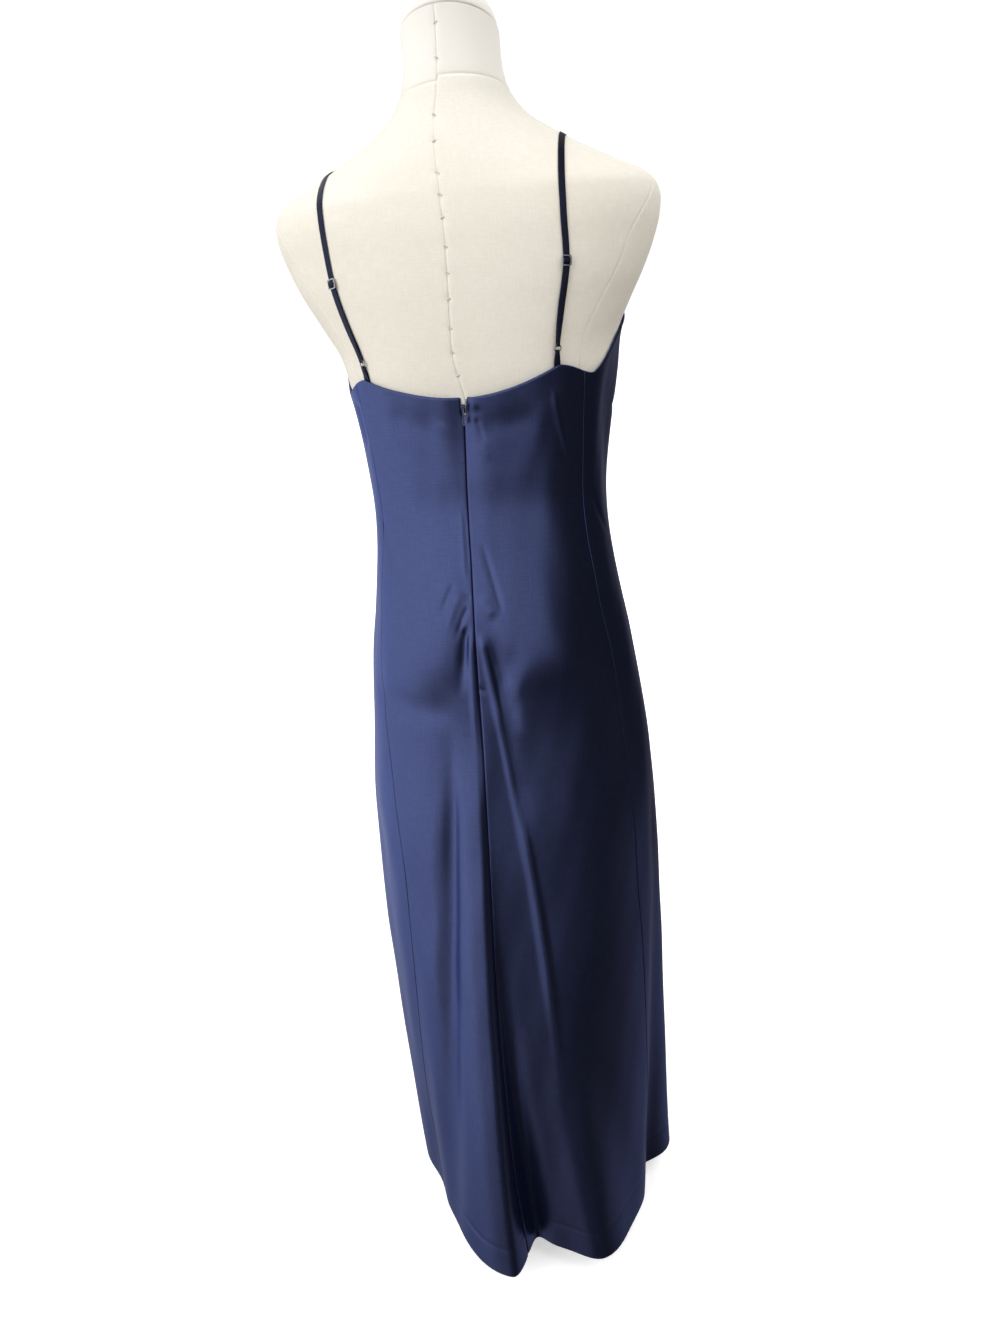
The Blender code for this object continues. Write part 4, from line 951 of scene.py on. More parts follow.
def fold_shift(angle, level):
    """How far the folds move the cloth outward, and sideways to its right."""
    outward_by = 0.0
    sideways = 0.0
    for fold in FOLDS:
        t = np.clip((fold.top_level - level) / (fold.top_level - HEM_LEVEL), 0.0, 1.0)
        height = passing(0.0, fold.mid_height, fold.hem_height, t) * smooth_step(5.0 * t)
        middle = passing(fold.top_angle, fold.mid_angle, fold.hem_angle, t)
        turn = turn_between(angle, middle)
        reach = np.where(turn > 0.0, fold.left_reach, fold.right_reach)
        reach = reach * (FOLD_START_SHARE + (1.0 - FOLD_START_SHARE) * t)
        swell = height * np.exp(-(turn / reach) ** 2)
        outward_by = outward_by + swell
        sideways = sideways + fold.lean * swell
    return outward_by, sideways


def crease_shift(angle, level, radius):
    """How far the small creases move the cloth outward."""
    angle, level, radius = np.broadcast_arrays(angle, level, radius)
    total = np.zeros(radius.shape)
    for crease in CREASES:
        reach = crease.reach / 1000.0
        t = np.linspace(0.0, 1.0, CREASE_STEPS + 1)
        angles = passing(crease.from_angle, crease.by_angle, crease.to_angle, t)
        levels = passing(crease.from_level, crease.by_level, crease.to_level, t)
        middle = crease.by_angle
        near_turn = CREASE_NEAR_SHARE * np.ptp(angles) + CREASE_NEAR_TURN * reach
        near = ((level > levels.min() - CREASE_NEAR * reach)
                & (level < levels.max() + CREASE_NEAR * reach)
                & (np.abs(turn_between(angle, middle)) < near_turn))
        if not near.any():
            continue
        x = np.radians(turn_between(angle[near], middle)) * radius[near]
        z = level[near]
        best = np.full(x.shape, 1e9)
        along = np.zeros(x.shape)
        for step in range(CREASE_STEPS):
            x0, x1 = (np.radians(angles[step + i] - middle) * radius[near] for i in (0, 1))
            z0, z1 = levels[step], levels[step + 1]
            length = (x1 - x0) ** 2 + (z1 - z0) ** 2 + 1e-12
            part = np.clip(((x - x0) * (x1 - x0) + (z - z0) * (z1 - z0)) / length, 0.0, 1.0)
            away = (x - x0 - part * (x1 - x0)) ** 2 + (z - z0 - part * (z1 - z0)) ** 2
            closer = away < best
            best = np.where(closer, away, best)
            along = np.where(closer, (step + part) / CREASE_STEPS, along)
        fade = np.ones(x.shape)
        if crease.fade_in:
            fade = fade * smooth_step(along / crease.fade_in)
        if crease.fade_out:
            fade = fade * smooth_step((1.0 - along) / crease.fade_out)
        total[near] += crease.height / 1000.0 * fade * np.exp(-best / reach ** 2)
    return total


def cloth_radius(angle, level):
    return section_radius(DRESS, angle, level) + mound_height(angle, level)


def cloth_outer(angle, level):
    """The cloth's outer side, with its folds, creases and faint unevenness."""
    outward_by, sideways = fold_shift(angle, level)
    radius = cloth_radius(angle, level)
    shift = crease_shift(angle, level, radius)
    for ripple in RIPPLES:
        sway = RIPPLE_SWAY * np.sin(level * RIPPLE_SWAY_WAVES + ripple.shift)
        waves = (np.radians(angle) * ripple.angle_waves + level * ripple.level_waves
                 + ripple.shift + sway)
        shift = shift + ripple.height * np.sin(waves)
    radius = radius + outward_by + shift
    return polar(radius, angle - np.degrees(sideways / radius), level)


def top_edge(angle):
    """Level of the cloth's top edge."""
    turn = turn_between(angle, 0.0)
    left, right = SIDES["left"], SIDES["right"]
    foot_angle = np.where(turn > 0.0, left.foot_angle, right.foot_angle)
    foot_level = np.where(turn > 0.0, left.foot_level, right.foot_level)
    arm_angle = np.where(turn > 0.0, left.arm_angle, right.arm_angle)
    arm_level = np.where(turn > 0.0, left.arm_level, right.arm_level)
    turn = np.abs(turn)
    back = BACK_NECK_LEVEL + (foot_level - BACK_NECK_LEVEL) * (turn / foot_angle) ** 2
    along = smooth_step((turn - foot_angle) / (arm_angle - foot_angle))
    side = foot_level + (arm_level - foot_level) * along
    tip_start = BUST_POINT_ANGLE - BUST_POINT_HALF
    tip_end = BUST_POINT_ANGLE + BUST_POINT_HALF
    rising = np.clip((turn - arm_angle) / (tip_start - arm_angle), 0.0, 1.0)
    bust = arm_level + (BUST_POINT_LEVEL - arm_level) * rising ** ARM_EDGE_BEND
    falling = np.clip((turn - tip_end) / (180.0 - tip_end), 0.0, 1.0)
    neck = BUST_POINT_LEVEL - (BUST_POINT_LEVEL - FRONT_NECK_LEVEL) * falling ** NECKLINE_BEND
    edge_level = np.where(turn < foot_angle, back, side)
    edge_level = np.where(turn > arm_angle, bust, edge_level)
    return np.where(turn > BUST_POINT_ANGLE, neck, edge_level)


def half_opening(level):
    """Half the width between the two backs, which part above the zip's slider."""
    parting = smooth_step((level - ZIP_OPEN_LEVEL + ZIP_OPEN_LENGTH) / ZIP_OPEN_LENGTH)
    widening = np.clip((level - ZIP_OPEN_LEVEL) / (BACK_NECK_LEVEL - ZIP_OPEN_LEVEL), 0.0, 1.0)
    opening = SEAM_GAP / 2 + parting * (ZIP_OPENING - SEAM_GAP) / 2
    return opening + widening * (ZIP_TOP_OPENING - ZIP_OPENING) / 2


def seam_at(seam, away=0.0, turns=0.0):
    """A function of the level: the angle of a seam, moved along the cloth by a distance."""
    def angle_at(level):
        angle = through(SEAMS, seam, level)
        gap = away(level) if callable(away) else away
        return angle + np.degrees(gap / section_radius(DRESS, angle, level)) + turns
    return angle_at


def panel_rows():
    """Heights of the rows: 0 to 1 is the skirt, 1 to 2 the bodice."""
    skirt_height = SKIRT_TOP_LEVEL - HEM_LEVEL
    skirt = np.arange(HEM_STEPS[-1] + SKIRT_ROW, skirt_height - SKIRT_ROW / 2, SKIRT_ROW)
    bodice = 1.0 + np.linspace(0.0, 1.0 - EDGE_STEPS[0], BODICE_STEPS, endpoint=False)
    edge_rows = 2.0 - np.array(EDGE_STEPS)
    return np.concatenate([np.array(HEM_STEPS) / skirt_height, skirt / skirt_height,
                           bodice, edge_rows])


def row_level(angle, height):
    skirt = HEM_LEVEL + (SKIRT_TOP_LEVEL - HEM_LEVEL) * height
    bodice = SKIRT_TOP_LEVEL + (top_edge(angle) - SKIRT_TOP_LEVEL) * (height - 1.0)
    return np.where(height <= 1.0, skirt, bodice)


def edge_shares(count, start, end, length):
    """Shares from 0 to 1 whose steps next to each end begin at a size and grow."""
    first, last = start / length, end / length
    steps = np.full(count, 1.0)
    even = 1.0 / count
    for number in range(count):
        from_start = first * EDGE_GROWTH ** number
        from_end = last * EDGE_GROWTH ** (count - 1 - number)
        steps[number] = min(even, from_start, from_end)
    slack = (1.0 - steps.sum()) / (steps >= even).sum()
    steps[steps >= even] += slack
    return np.concatenate([[0.0], np.cumsum(steps)]) / steps.sum()


def roll_in(distance, reach, depth):
    """How far an edge is turned in, at a distance from it."""
    share = np.clip(distance / reach, 0.0, 1.0)
    return depth * (1.0 - np.sqrt(1.0 - (1.0 - share) ** 2))


def panel(name, start, end, shares, start_roll, end_roll):
    """One cut piece of the dress, whose columns run from start's angle to end's."""
    heights = panel_rows()[:, None]
    level = row_level(start(SKIRT_TOP_LEVEL) * (1 - shares) + end(SKIRT_TOP_LEVEL) * shares,
                      heights)
    for _ in range(PANEL_PASSES):
        angle = start(level) + (end(level) - start(level)) * shares
        level = row_level(angle, heights)
    angle = start(level) + (end(level) - start(level)) * shares
    points = cloth_outer(angle, level)
    radius = cloth_radius(angle, level)
    from_start = np.radians(np.abs(angle - start(level))) * radius
    from_end = np.radians(np.abs(angle - end(level))) * radius
    below_top = top_edge(angle) - level
    above_hem = level - HEM_LEVEL
    inward = (roll_in(from_start, 2.0 * start_roll, start_roll)
              + roll_in(from_end, 2.0 * end_roll, end_roll)
              + roll_in(below_top, TOP_ROLL_REACH, EDGE_ROLL)
              + roll_in(above_hem, HEM_ROLL_REACH, EDGE_ROLL)
              + HEM_TURN_DENT * np.exp(-((above_hem - HEM_TURN) / HEM_ROLL_REACH) ** 2))
    return surface(name, points - inward[..., None] * outward(points),
                   flat_place(-np.radians(angle) * CUT_RADIUS, level))


def thicken(cloth, thickness):
    """Give the cloth its wall, on its inner side."""
    only(cloth)
    wall = cloth.modifiers.new("wall", "SOLIDIFY")
    wall.thickness = thickness
    wall.offset = -1.0
    wall.use_even_offset = False
    bpy.ops.object.modifier_apply(modifier="wall")


SATIN = (0.080, 0.101, 0.240)
SATIN_DEEP = (0.067, 0.086, 0.212)


def woven_finish(name, roughness, threads, slub_length, spread, colours, relief):
    """A woven cloth with slubs between two colours. relief is a bump's distance and strength."""
    material, tree, shader = finish_nodes(name, roughness)
    weave = woven(tree, threads, slub_length)
    uneven = mask_between(tree, weave.outputs["Slubs"], 0.5 - spread, 0.5 + spread)
    colour_by(tree, shader, uneven, *colours)
    bump(tree, shader, weave.outputs["Height"], *relief)
    return material, tree, shader


def satin_finish():
    material, tree, shader = woven_finish("navy satin", 0.42, 2600.0, 0.020, 0.15,
                                          (SATIN_DEEP, SATIN), (0.00006, 0.35))
    crepe = mask_between(tree, object_noise(tree, 1300.0, 2.0), 0.2, 0.8)
    roughness_by(tree, shader, crepe, 0.29, 0.06)
    shader.inputs["Metallic"].default_value = 0.95
    shader.inputs["Specular IOR Level"].default_value = 0.2
    shader.inputs["Specular Tint"].default_value = (0.55, 0.60, 0.85, 1.0)
    return material


satin = satin_finish()

zip_left = seam_at("back", half_opening)
zip_right = seam_at("back", lambda level: -half_opening(level))
front = panel("front_satin", seam_at("right", -SEAM_GAP / 2, 360.0), seam_at("left", SEAM_GAP / 2),
              edge_shares(FRONT_COLUMNS, SEAM_COLUMN, SEAM_COLUMN, FRONT_ACROSS),
              SEAM_ROLL, SEAM_ROLL)
back_left = panel("back_left_satin", seam_at("left", -SEAM_GAP / 2), zip_left,
                  edge_shares(BACK_COLUMNS, SEAM_COLUMN, ZIP_COLUMN, BACK_ACROSS),
                  SEAM_ROLL, EDGE_ROLL)
back_right = panel("back_right_satin", zip_right, seam_at("right", SEAM_GAP / 2),
                   edge_shares(BACK_COLUMNS, ZIP_COLUMN, SEAM_COLUMN, BACK_ACROSS),
                   EDGE_ROLL, SEAM_ROLL)
for cloth, node in ((front, "dress_front"), (back_left, "dress_back_left"),
                    (back_right, "dress_back_right")):
    thicken(cloth, CLOTH)
    dressed(cloth, satin, "navy_satin", node)


# ---------------------------------------------------------------- seam allowances
# Inside, the long seams' allowances are pressed open and lie flat on both sides of each seam.
# The back's one starts under the zip.

ALLOWANCE = 0.011
ALLOWANCE_DEPTH = 0.0026
ALLOWANCE_THICK = 0.0005
ALLOWANCE_ROW = 0.006
ALLOWANCE_TOP = 1.104
ALLOWANCE_ABOVE_HEM = 0.002
ALLOWANCE_BELOW_ZIP = 0.001
ZIP_END_LEVEL = 0.7845

for seam, top in (("back", ZIP_END_LEVEL - ALLOWANCE_BELOW_ZIP), ("left", ALLOWANCE_TOP),
                  ("right", ALLOWANCE_TOP)):
    level = np.arange(HEM_LEVEL + ALLOWANCE_ABOVE_HEM, top, ALLOWANCE_ROW)[:, None]
    away = np.linspace(ALLOWANCE, -ALLOWANCE, 9)[None, :]
    middle = through(SEAMS, seam, level)
    angle = middle + np.degrees(away / section_radius(DRESS, middle, level))
    points = cloth_outer(angle, level)
    points = points - ALLOWANCE_DEPTH * outward(points)
    strip = surface("seam_allowance_" + seam, points, flat_place(away, level))
    thicken(strip, ALLOWANCE_THICK)
    dressed(strip, satin, "navy_satin")


# ---------------------------------------------------------------- zip tapes
# A woven tape is stitched inside each back's edge and carries the zip's teeth.
# It is let in between the lips of the opening and ends under the seat.

TAPE_WIDTH = 0.0080
TAPE_EDGE = 0.0010        # from the zip's own parting to the tape
TAPE_THICK = 0.0005
TAPE_BELOW_TOP = 0.0022
TAPE_DEPTH = 0.0019       # below the cloth's outer side
TAPE_DROP = 0.0010        # deeper by this at the teeth
TAPE_ROWS = 150
TAPE_COLUMNS = 9
TAPE_COLOUR = (0.012, 0.015, 0.050)


def zip_side(sign, away):
    """Angles away from one side of the zip's own parting, half as wide as the backs'."""
    return seam_at("back", lambda level: sign * (half_opening(level) / 2 + away))


tape_cloth = woven_finish("zip tape", 0.75, 2400.0, 0.004, 0.2,
                          (shade(TAPE_COLOUR, 0.7), TAPE_COLOUR), (0.0002, 0.8))[0]
for side, sign in (("left", 1.0), ("right", -1.0)):
    near = zip_side(sign, TAPE_EDGE)
    far = zip_side(sign, TAPE_EDGE + TAPE_WIDTH)
    shares = np.linspace(0.0, 1.0, TAPE_COLUMNS)[None, :]
    shares = shares if sign > 0 else 1.0 - shares
    heights = np.linspace(0.0, 1.0, TAPE_ROWS)[:, None]
    level = ZIP_END_LEVEL + (BACK_NECK_LEVEL - TAPE_BELOW_TOP - ZIP_END_LEVEL) * heights
    angle = far(level) + (near(level) - far(level)) * shares
    points = cloth_outer(angle, level)
    depth = TAPE_DEPTH + TAPE_DROP * shares ** 2
    points = points - depth[..., None] * outward(points)
    tape = surface("zip_tape_%s_cloth" % side, points, flat_place(shares * TAPE_WIDTH, level))
    thicken(tape, TAPE_THICK)
    dressed(tape, tape_cloth, "zip_tape", "zip_tape_" + side)


# ---------------------------------------------------------------- zip teeth
# A fine coil of nylon is sewn along the edge of each tape. Its turns are the teeth.
# The two coils lock below the slider and part above it.

TOOTH_PITCH = 0.00125
TOOTH_LENGTH = 0.0025
TOOTH_HEIGHT = 0.00085
TOOTH_THICK = 0.0010
TOOTH_PAST = 0.00045      # it reaches this far over the zip's own parting
TOOTH_DEPTH = 0.0026
TEETH_TOP = 0.0030        # below the top edge
TEETH_FOOT = 0.0020       # above the tape's end
TEETH_COLOUR = (0.020, 0.024, 0.075)


def fresh_cube(size, middle=(0.0, 0.0, 0.0)):
    bpy.ops.mesh.primitive_cube_add(size=1.0, location=middle)
    item = bpy.context.object
    item.scale = size
    bpy.ops.object.transform_apply(location=True, rotation=True, scale=True)
    return item


def cloth_frame(angle, level):
    """A point of the cloth, and the ways to its right, up and out there."""
    step, rise = 0.25, 0.001   # half the spans that it looks over, in degrees and metres
    angles = np.array([angle, angle - step, angle + step, angle, angle])
    levels = np.array([level, level, level, level + rise, level - rise])
    here, right, left, above, below = cloth_outer(angles, levels)
    across = right - left
    across /= np.linalg.norm(across)
    out = np.cross(across, above - below)
    out /= np.linalg.norm(out)
    return here, across, np.cross(out, across), out


def joined(name, pieces):
    bpy.ops.object.select_all(action="DESELECT")
    for piece in pieces:
        piece.select_set(True)
    bpy.context.view_layer.objects.active = pieces[0]
    bpy.ops.object.join()
    pieces[0].name = name
    return pieces[0]


def placed_copies(model, name, frames):
    """Copies of a small model, each turned to its own frame, joined into one mesh."""
    copies = []
    for origin, across, up, out in frames:
        copy = bpy.data.objects.new(name, model.data.copy())
        turn = Matrix((across, out, up)).transposed().to_4x4()
        copy.data.transform(Matrix.Translation(origin) @ turn)
        bpy.context.scene.collection.objects.link(copy)
        copies.append(copy)
    bpy.data.objects.remove(model, do_unlink=True)
    return joined(name, copies)


def coil_finish():
    material, tree, shader = finish_nodes("nylon coil", 0.35)
    worn = mask_between(tree, object_noise(tree, 700.0), 0.3, 0.8)
    colour_by(tree, shader, worn, TEETH_COLOUR, shade(TEETH_COLOUR, 1.8))
    return material


tooth = bevelled(fresh_cube((TOOTH_LENGTH, TOOTH_THICK, TOOTH_HEIGHT)), 0.0003, 1, 30.0, 50.0)
frames = []
teeth_levels = np.arange(ZIP_END_LEVEL + TEETH_FOOT, BACK_NECK_LEVEL - TEETH_TOP, TOOTH_PITCH)
for sign in (1.0, -1.0):
    for level in teeth_levels + (TOOTH_PITCH / 2 if sign < 0 else 0.0):
        angle = float(zip_side(sign, -TOOTH_PAST + TOOTH_LENGTH / 2)(level))
        here, across, up, out = cloth_frame(angle, level)
        frames.append((here - TOOTH_DEPTH * out, across, -up, out))
teeth = placed_copies(tooth, "zip_teeth", frames)
dressed(teeth, coil_finish(), "zip_tape")


# ---------------------------------------------------------------- zip slider
# A small enamelled die-casting: a dished plate that narrows to its foot, and two ears that hold
# the pin of its pull. The plate slides over the locked teeth.

SLIDER_LEAN = 6.64        # the cloth leans back from upright here
PIN_PLACE = (0.002721, 0.117235, 1.087466)
PIN_OUT = 0.0015
PIN_UP = 0.0022
SLIDER_WIDTH = 0.0044
SLIDER_HEIGHT = 0.0086
SLIDER_THICK = 0.0016
SLIDER_TAPER = 0.74       # width of its foot, as a share of its head
PLATE_DISH = 0.0003
PIN_RADIUS = 0.0004
PIN_PAST_EARS = 0.0001    # at each end
EAR_GAP = 0.0014          # from the middle to an ear's inner side
EAR_THICK = 0.0007
EAR_HEIGHT = 0.0024
EAR_RIM = 0.0003
METAL_EDGE = 0.00022
NAVY_ENAMEL = (0.030, 0.036, 0.095)
BARE_METAL = (0.30, 0.31, 0.36)


def enamel_finish(name, wear_low):
    """Dark enamel over metal, rubbed on its edges and hazed all over."""
    material, tree, shader = finish_nodes(name, 0.3)
    place = tree.nodes.new("ShaderNodeNewGeometry")
    rubbed = mask_between(tree, place.outputs["Pointiness"], wear_low, wear_low + 0.12)
    speckle = mask_between(tree, object_noise(tree, 2500.0), 0.35, 0.65)
    rubbed = math_node(tree, "MULTIPLY", rubbed, speckle)
    colour_by(tree, shader, rubbed, NAVY_ENAMEL, BARE_METAL)
    roughness_by(tree, shader, speckle, 0.24, 0.12)
    shader.inputs["Metallic"].default_value = 0.55
    return material


def hand_on(item, matrix):
    """Put a mesh in its place, with its object left at the origin."""
    item.data.transform(matrix)
    item.data.update()


def fresh_rod(radius, length, sides):
    """A round rod that lies across, its middle at the origin."""
    bpy.ops.mesh.primitive_cylinder_add(vertices=sides, radius=radius, depth=length,
                                        rotation=(0.0, pi / 2, 0.0))
    bpy.ops.object.transform_apply(location=True, rotation=True, scale=True)
    return bpy.context.object


# Its parts are made round the pin's axis: X across, Y out of the cloth, Z up.
plate_y = -PIN_OUT - SLIDER_THICK / 2
plate = fresh_cube((SLIDER_WIDTH, SLIDER_THICK, SLIDER_HEIGHT), (0.0, plate_y, -PIN_UP))
with editing():
    bpy.ops.mesh.subdivide(number_cuts=3)
for vertex in plate.data.vertices:
    down = (SLIDER_HEIGHT / 2 - PIN_UP - vertex.co.z) / SLIDER_HEIGHT
    vertex.co.x *= 1.0 - (1.0 - SLIDER_TAPER) * down ** 2
    if vertex.co.y > plate_y + SLIDER_THICK * 0.4:
        vertex.co.y -= PLATE_DISH * (1.0 - (2.0 * vertex.co.x / SLIDER_WIDTH) ** 2)
bevelled(plate, METAL_EDGE)
pieces = [plate]
for sign in (-1.0, 1.0):
    ear = fresh_cube((EAR_THICK, PIN_OUT + PIN_RADIUS + EAR_RIM + PLATE_DISH, EAR_HEIGHT),
                     (sign * (EAR_GAP + EAR_THICK / 2),
                      (PIN_RADIUS + EAR_RIM - PIN_OUT - PLATE_DISH) / 2, 0.0))
    pieces.append(bevelled(ear, METAL_EDGE))
pin_length = 2.0 * (EAR_GAP + EAR_THICK + PIN_PAST_EARS)
pieces.append(bevelled(fresh_rod(PIN_RADIUS, pin_length, 32), 0.0001))
slider = joined("zip_slider_metal", pieces)
hand_on(slider, Matrix.Translation(PIN_PLACE) @ Matrix.Rotation(radians(-SLIDER_LEAN), 4, "X"))
enamel = enamel_finish("zip enamel", 0.52)
dressed(slider, enamel, "zip_metal", "zip_slider")


# ---------------------------------------------------------------- zip pull
# A drop-shaped tab pressed from sheet metal with a raised rim, and an eye rolled round the pin.

EYE_RADIUS = 0.00115
EYE_BORE = 0.0007
EYE_WIDTH = 0.0022
PULL_THICK = 0.0009
PULL_RIM = 0.0006
PULL_SUNK = 0.00025
PULL_SLOPE = 0.00012      # width of the rim's inner slope

Outline = namedtuple("Outline", "half down")

PULL = [
    Outline(0.00100, 0.0008),
    Outline(0.00100, 0.0040),
    Outline(0.00122, 0.0065),
    Outline(0.00152, 0.0090),
    Outline(0.00188, 0.0115),
    Outline(0.00208, 0.0134),
    Outline(0.00210, 0.0148),
    Outline(0.00190, 0.0163),
    Outline(0.00142, 0.0174),
    Outline(0.00075, 0.0179),
]


def flat_plate(name, outlines, thickness):
    """A flat plate in the X-Z plane from outlines of (x, z, 0); the later ones are holes."""
    curve = curve_through(name, outlines, "2D", True)
    curve.fill_mode = "BOTH"
    curve.extrude = thickness / 2
    item = mesh_from(curve)
    item.data.transform(Matrix.Rotation(pi / 2, 4, "X"))
    with editing():
        bpy.ops.mesh.remove_doubles(threshold=0.000001)
        bpy.ops.mesh.dissolve_limited(angle_limit=radians(1.0))
        bpy.ops.mesh.normals_make_consistent(inside=False)
    return item


def select_faces(item, axis):
    """Select the faces of a mesh that look along an axis."""
    with editing("DESELECT"):
        bpy.ops.mesh.select_mode(type="FACE")
    for face in item.data.polygons:
        face.select = abs(face.normal[axis]) > 0.9


right_side = [(step.half, -step.down, 0.0) for step in PULL]
outline = right_side + [(-x, z, y) for x, z, y in reversed(right_side)]
tab = flat_plate("zip_pull_tab_metal", [outline], PULL_THICK)
select_faces(tab, 1)
with editing(None):
    bpy.ops.mesh.inset(thickness=PULL_RIM, depth=0.0)
    bpy.ops.mesh.inset(thickness=PULL_SLOPE, depth=-PULL_SUNK)
bevelled(tab, 0.00015, angle=40.0)
eye = fresh_rod(EYE_RADIUS, EYE_WIDTH, 40)
select_faces(eye, 0)
with editing(None):
    bpy.ops.mesh.inset(thickness=EYE_RADIUS - EYE_BORE)
    bpy.ops.mesh.bridge_edge_loops()
bevelled(eye, 0.00012, angle=40.0)
pull = joined("zip_pull_metal", [tab, eye])
hand_on(pull, Matrix.Translation(PIN_PLACE))
dressed(pull, enamel, "zip_metal", "zip_pull", body="zip_pull_tab")


# ---------------------------------------------------------------- straps
# Narrow tubes of the same satin, pressed flat. Each is sewn to a tip of the front, goes over the
# shoulder, through the buckle, round the ring and back up to the buckle's middle bar.

STRAP_WIDTH = 0.0065
STRAP = 0.0008
STRAP_AT_RING = 0.0034
STRAP_CLEARANCE = 0.0005
RING_GAP = 0.0005
RING_RADIUS = 0.0034
RING_WIRE = 0.0006
LOOP_LENGTH = 0.0155
BUCKLE_WIDTH = 0.0090
BUCKLE_HEIGHT = 0.0096
BUCKLE_BAR = 0.0010
BUCKLE_THICK = 0.0009
CLOTH_LIFT = 0.0038
TUCK = 0.0060
TUCK_GAP = 0.0004
LOOP_TUCK_GAP = 0.0009    # the ring loops lie deeper
STRAP_SETTLES = 0.030
STRAP_TOP_LEVEL = 1.320
SHOULDER_STEPS = 24
STRAP_END = 0.0003

StrapPoint = namedtuple("StrapPoint", "level left right")

STRAP_BACK = [
    StrapPoint(1.110, 0.0990, 0.0895),
    StrapPoint(1.135, 0.1020, 0.0910),
    StrapPoint(1.170, 0.1140, 0.0970),
    StrapPoint(1.210, 0.1235, 0.1045),
    StrapPoint(1.250, 0.1270, 0.1045),
    StrapPoint(1.310, 0.1300, 0.1040),
    StrapPoint(1.340, 0.1300, 0.1040),
]
STRAP_FRONT = [
    StrapPoint(1.190, 0.0640, 0.0665),
    StrapPoint(1.210, 0.0724, 0.0724),
    StrapPoint(1.240, 0.0885, 0.0820),
    StrapPoint(1.280, 0.1120, 0.0950),
    StrapPoint(1.310, 0.1290, 0.1030),
    StrapPoint(1.340, 0.1300, 0.1040),
]

# Heights above the form, to the middle of a ribbon's thickness.
LOW_LIFT = STRAP_CLEARANCE + STRAP / 2
HIGH_LIFT = LOW_LIFT + STRAP + SEAM_GAP
RING_LIFT = STRAP_CLEARANCE + STRAP + RING_GAP + RING_WIRE
LAYER_REACH = RING_WIRE + RING_GAP + STRAP / 2
BUCKLE_LOW = LOW_LIFT + STRAP / 2 + SEAM_GAP + BUCKLE_THICK / 2
BUCKLE_HIGH = HIGH_LIFT + STRAP / 2 + SEAM_GAP + BUCKLE_THICK / 2
BUCKLE_LIFT = (BUCKLE_LOW + BUCKLE_HIGH) / 2
TUCKED_LIFT = CLOTH_LIFT - CLOTH / 2 - TUCK_GAP - STRAP / 2
OVER_BAR = BUCKLE_LIFT + BUCKLE_THICK / 2 + SEAM_GAP + STRAP / 2

Weave = namedtuple("Weave", "away over")

# The strap beside the buckle's middle bar: how far from the bar, and the share of the way over it.
WEAVE_STEPS = [
    Weave(0.0050, 0.0),
    Weave(0.0036, 0.05),
    Weave(0.0024, 0.45),
    Weave(0.0012, 0.92),
    Weave(0.0, 1.0),
]
BUCKLE_APPROACH = 0.0075
BUCKLE_LEAVE = 0.0065

Gather = namedtuple("Gather", "share gathered")

# How ribbons narrow towards a ring, with the share of the way that is left to its wire.
STRAP_GATHER = [
    Gather(1.0, 0.0),
    Gather(0.8, 0.0),
    Gather(0.55, 0.0),
    Gather(0.35, 0.15),
    Gather(0.20, 0.5),
    Gather(0.08, 0.9),
]
LOOP_GATHER = [
    Gather(1.0, 0.0),
    Gather(0.65, 0.0),
    Gather(0.35, 0.3),
    Gather(0.15, 0.8),
]


def form_surface(x, level, front):
    """Point and outward normal of the form at a distance from the middle plane."""
    quarter = np.linspace(90.0, 180.0 if front else 0.0, 181)
    rim = form_point(quarter, np.full_like(quarter, level))
    angle = float(np.interp(-abs(x), -rim[:, 0], quarter)) * np.sign(x)
    here, _, _, normal = form_frame(angle, level)
    return here, normal


def shoulder_level(x):
    """Level at which the form's side is x from the middle plane, on the top of the shoulder."""
    widest = max(FORM, key=lambda section: section.half_width)
    levels = np.linspace(FORM[-1].level, widest.level, 200)
    return float(np.interp(x, section_radius(FORM, 90.0, levels), levels))


def route_point(side, level, front=False):
    """Where a strap's middle line meets the form, the normal there and the way up the strap."""
    table = STRAP_FRONT if front else STRAP_BACK
    sign = SIDES[side].sign
    here, normal = form_surface(sign * float(through(table, side, level)), level, front)
    near = level - 0.002
    below, _ = form_surface(sign * float(through(table, side, near)), near, front)
    return here, normal, (here - below) / np.linalg.norm(here - below)


Station = namedtuple("Station", "level front lift gathered", defaults=(0.0,))


def round_the_ring(wire, upward):
    """Stations round the ring's wire, from outside it to inside it."""
    return [Station(wire + upward * LAYER_REACH * sin(radians(turn)), False,
                    RING_LIFT + LAYER_REACH * cos(radians(turn)), 1.0)
            for turn in range(0, 181, 20)]


def towards(low, high, share):
    return low + share * (high - low)


RIBBON_SIDES = 20         # points round a ribbon's section
RIBBON_REFINE = 3         # rows for each station
RIBBON_SQUARE = 0.45      # below 1 the section's corners are fuller
RIBBON_FACE = 0.7         # and its broad faces flatter


def refined(values, times):
    """More rows between rows, along smooth curves through them."""
    count = len(values)
    steps = np.arange((count - 1) * times + 1) / times
    low = np.minimum(steps.astype(int), count - 2)
    t = (steps - low)[:, None]
    before = values[np.maximum(low - 1, 0)]
    after = values[np.minimum(low + 2, count - 1)]
    start, end = values[low], values[low + 1]
    slope_start = (end - before) / 2
    slope_end = (after - start) / 2
    return (start + t * (slope_start + t * (3 * (end - start) - 2 * slope_start - slope_end
            + t * (slope_start + slope_end - 2 * (end - start)))))


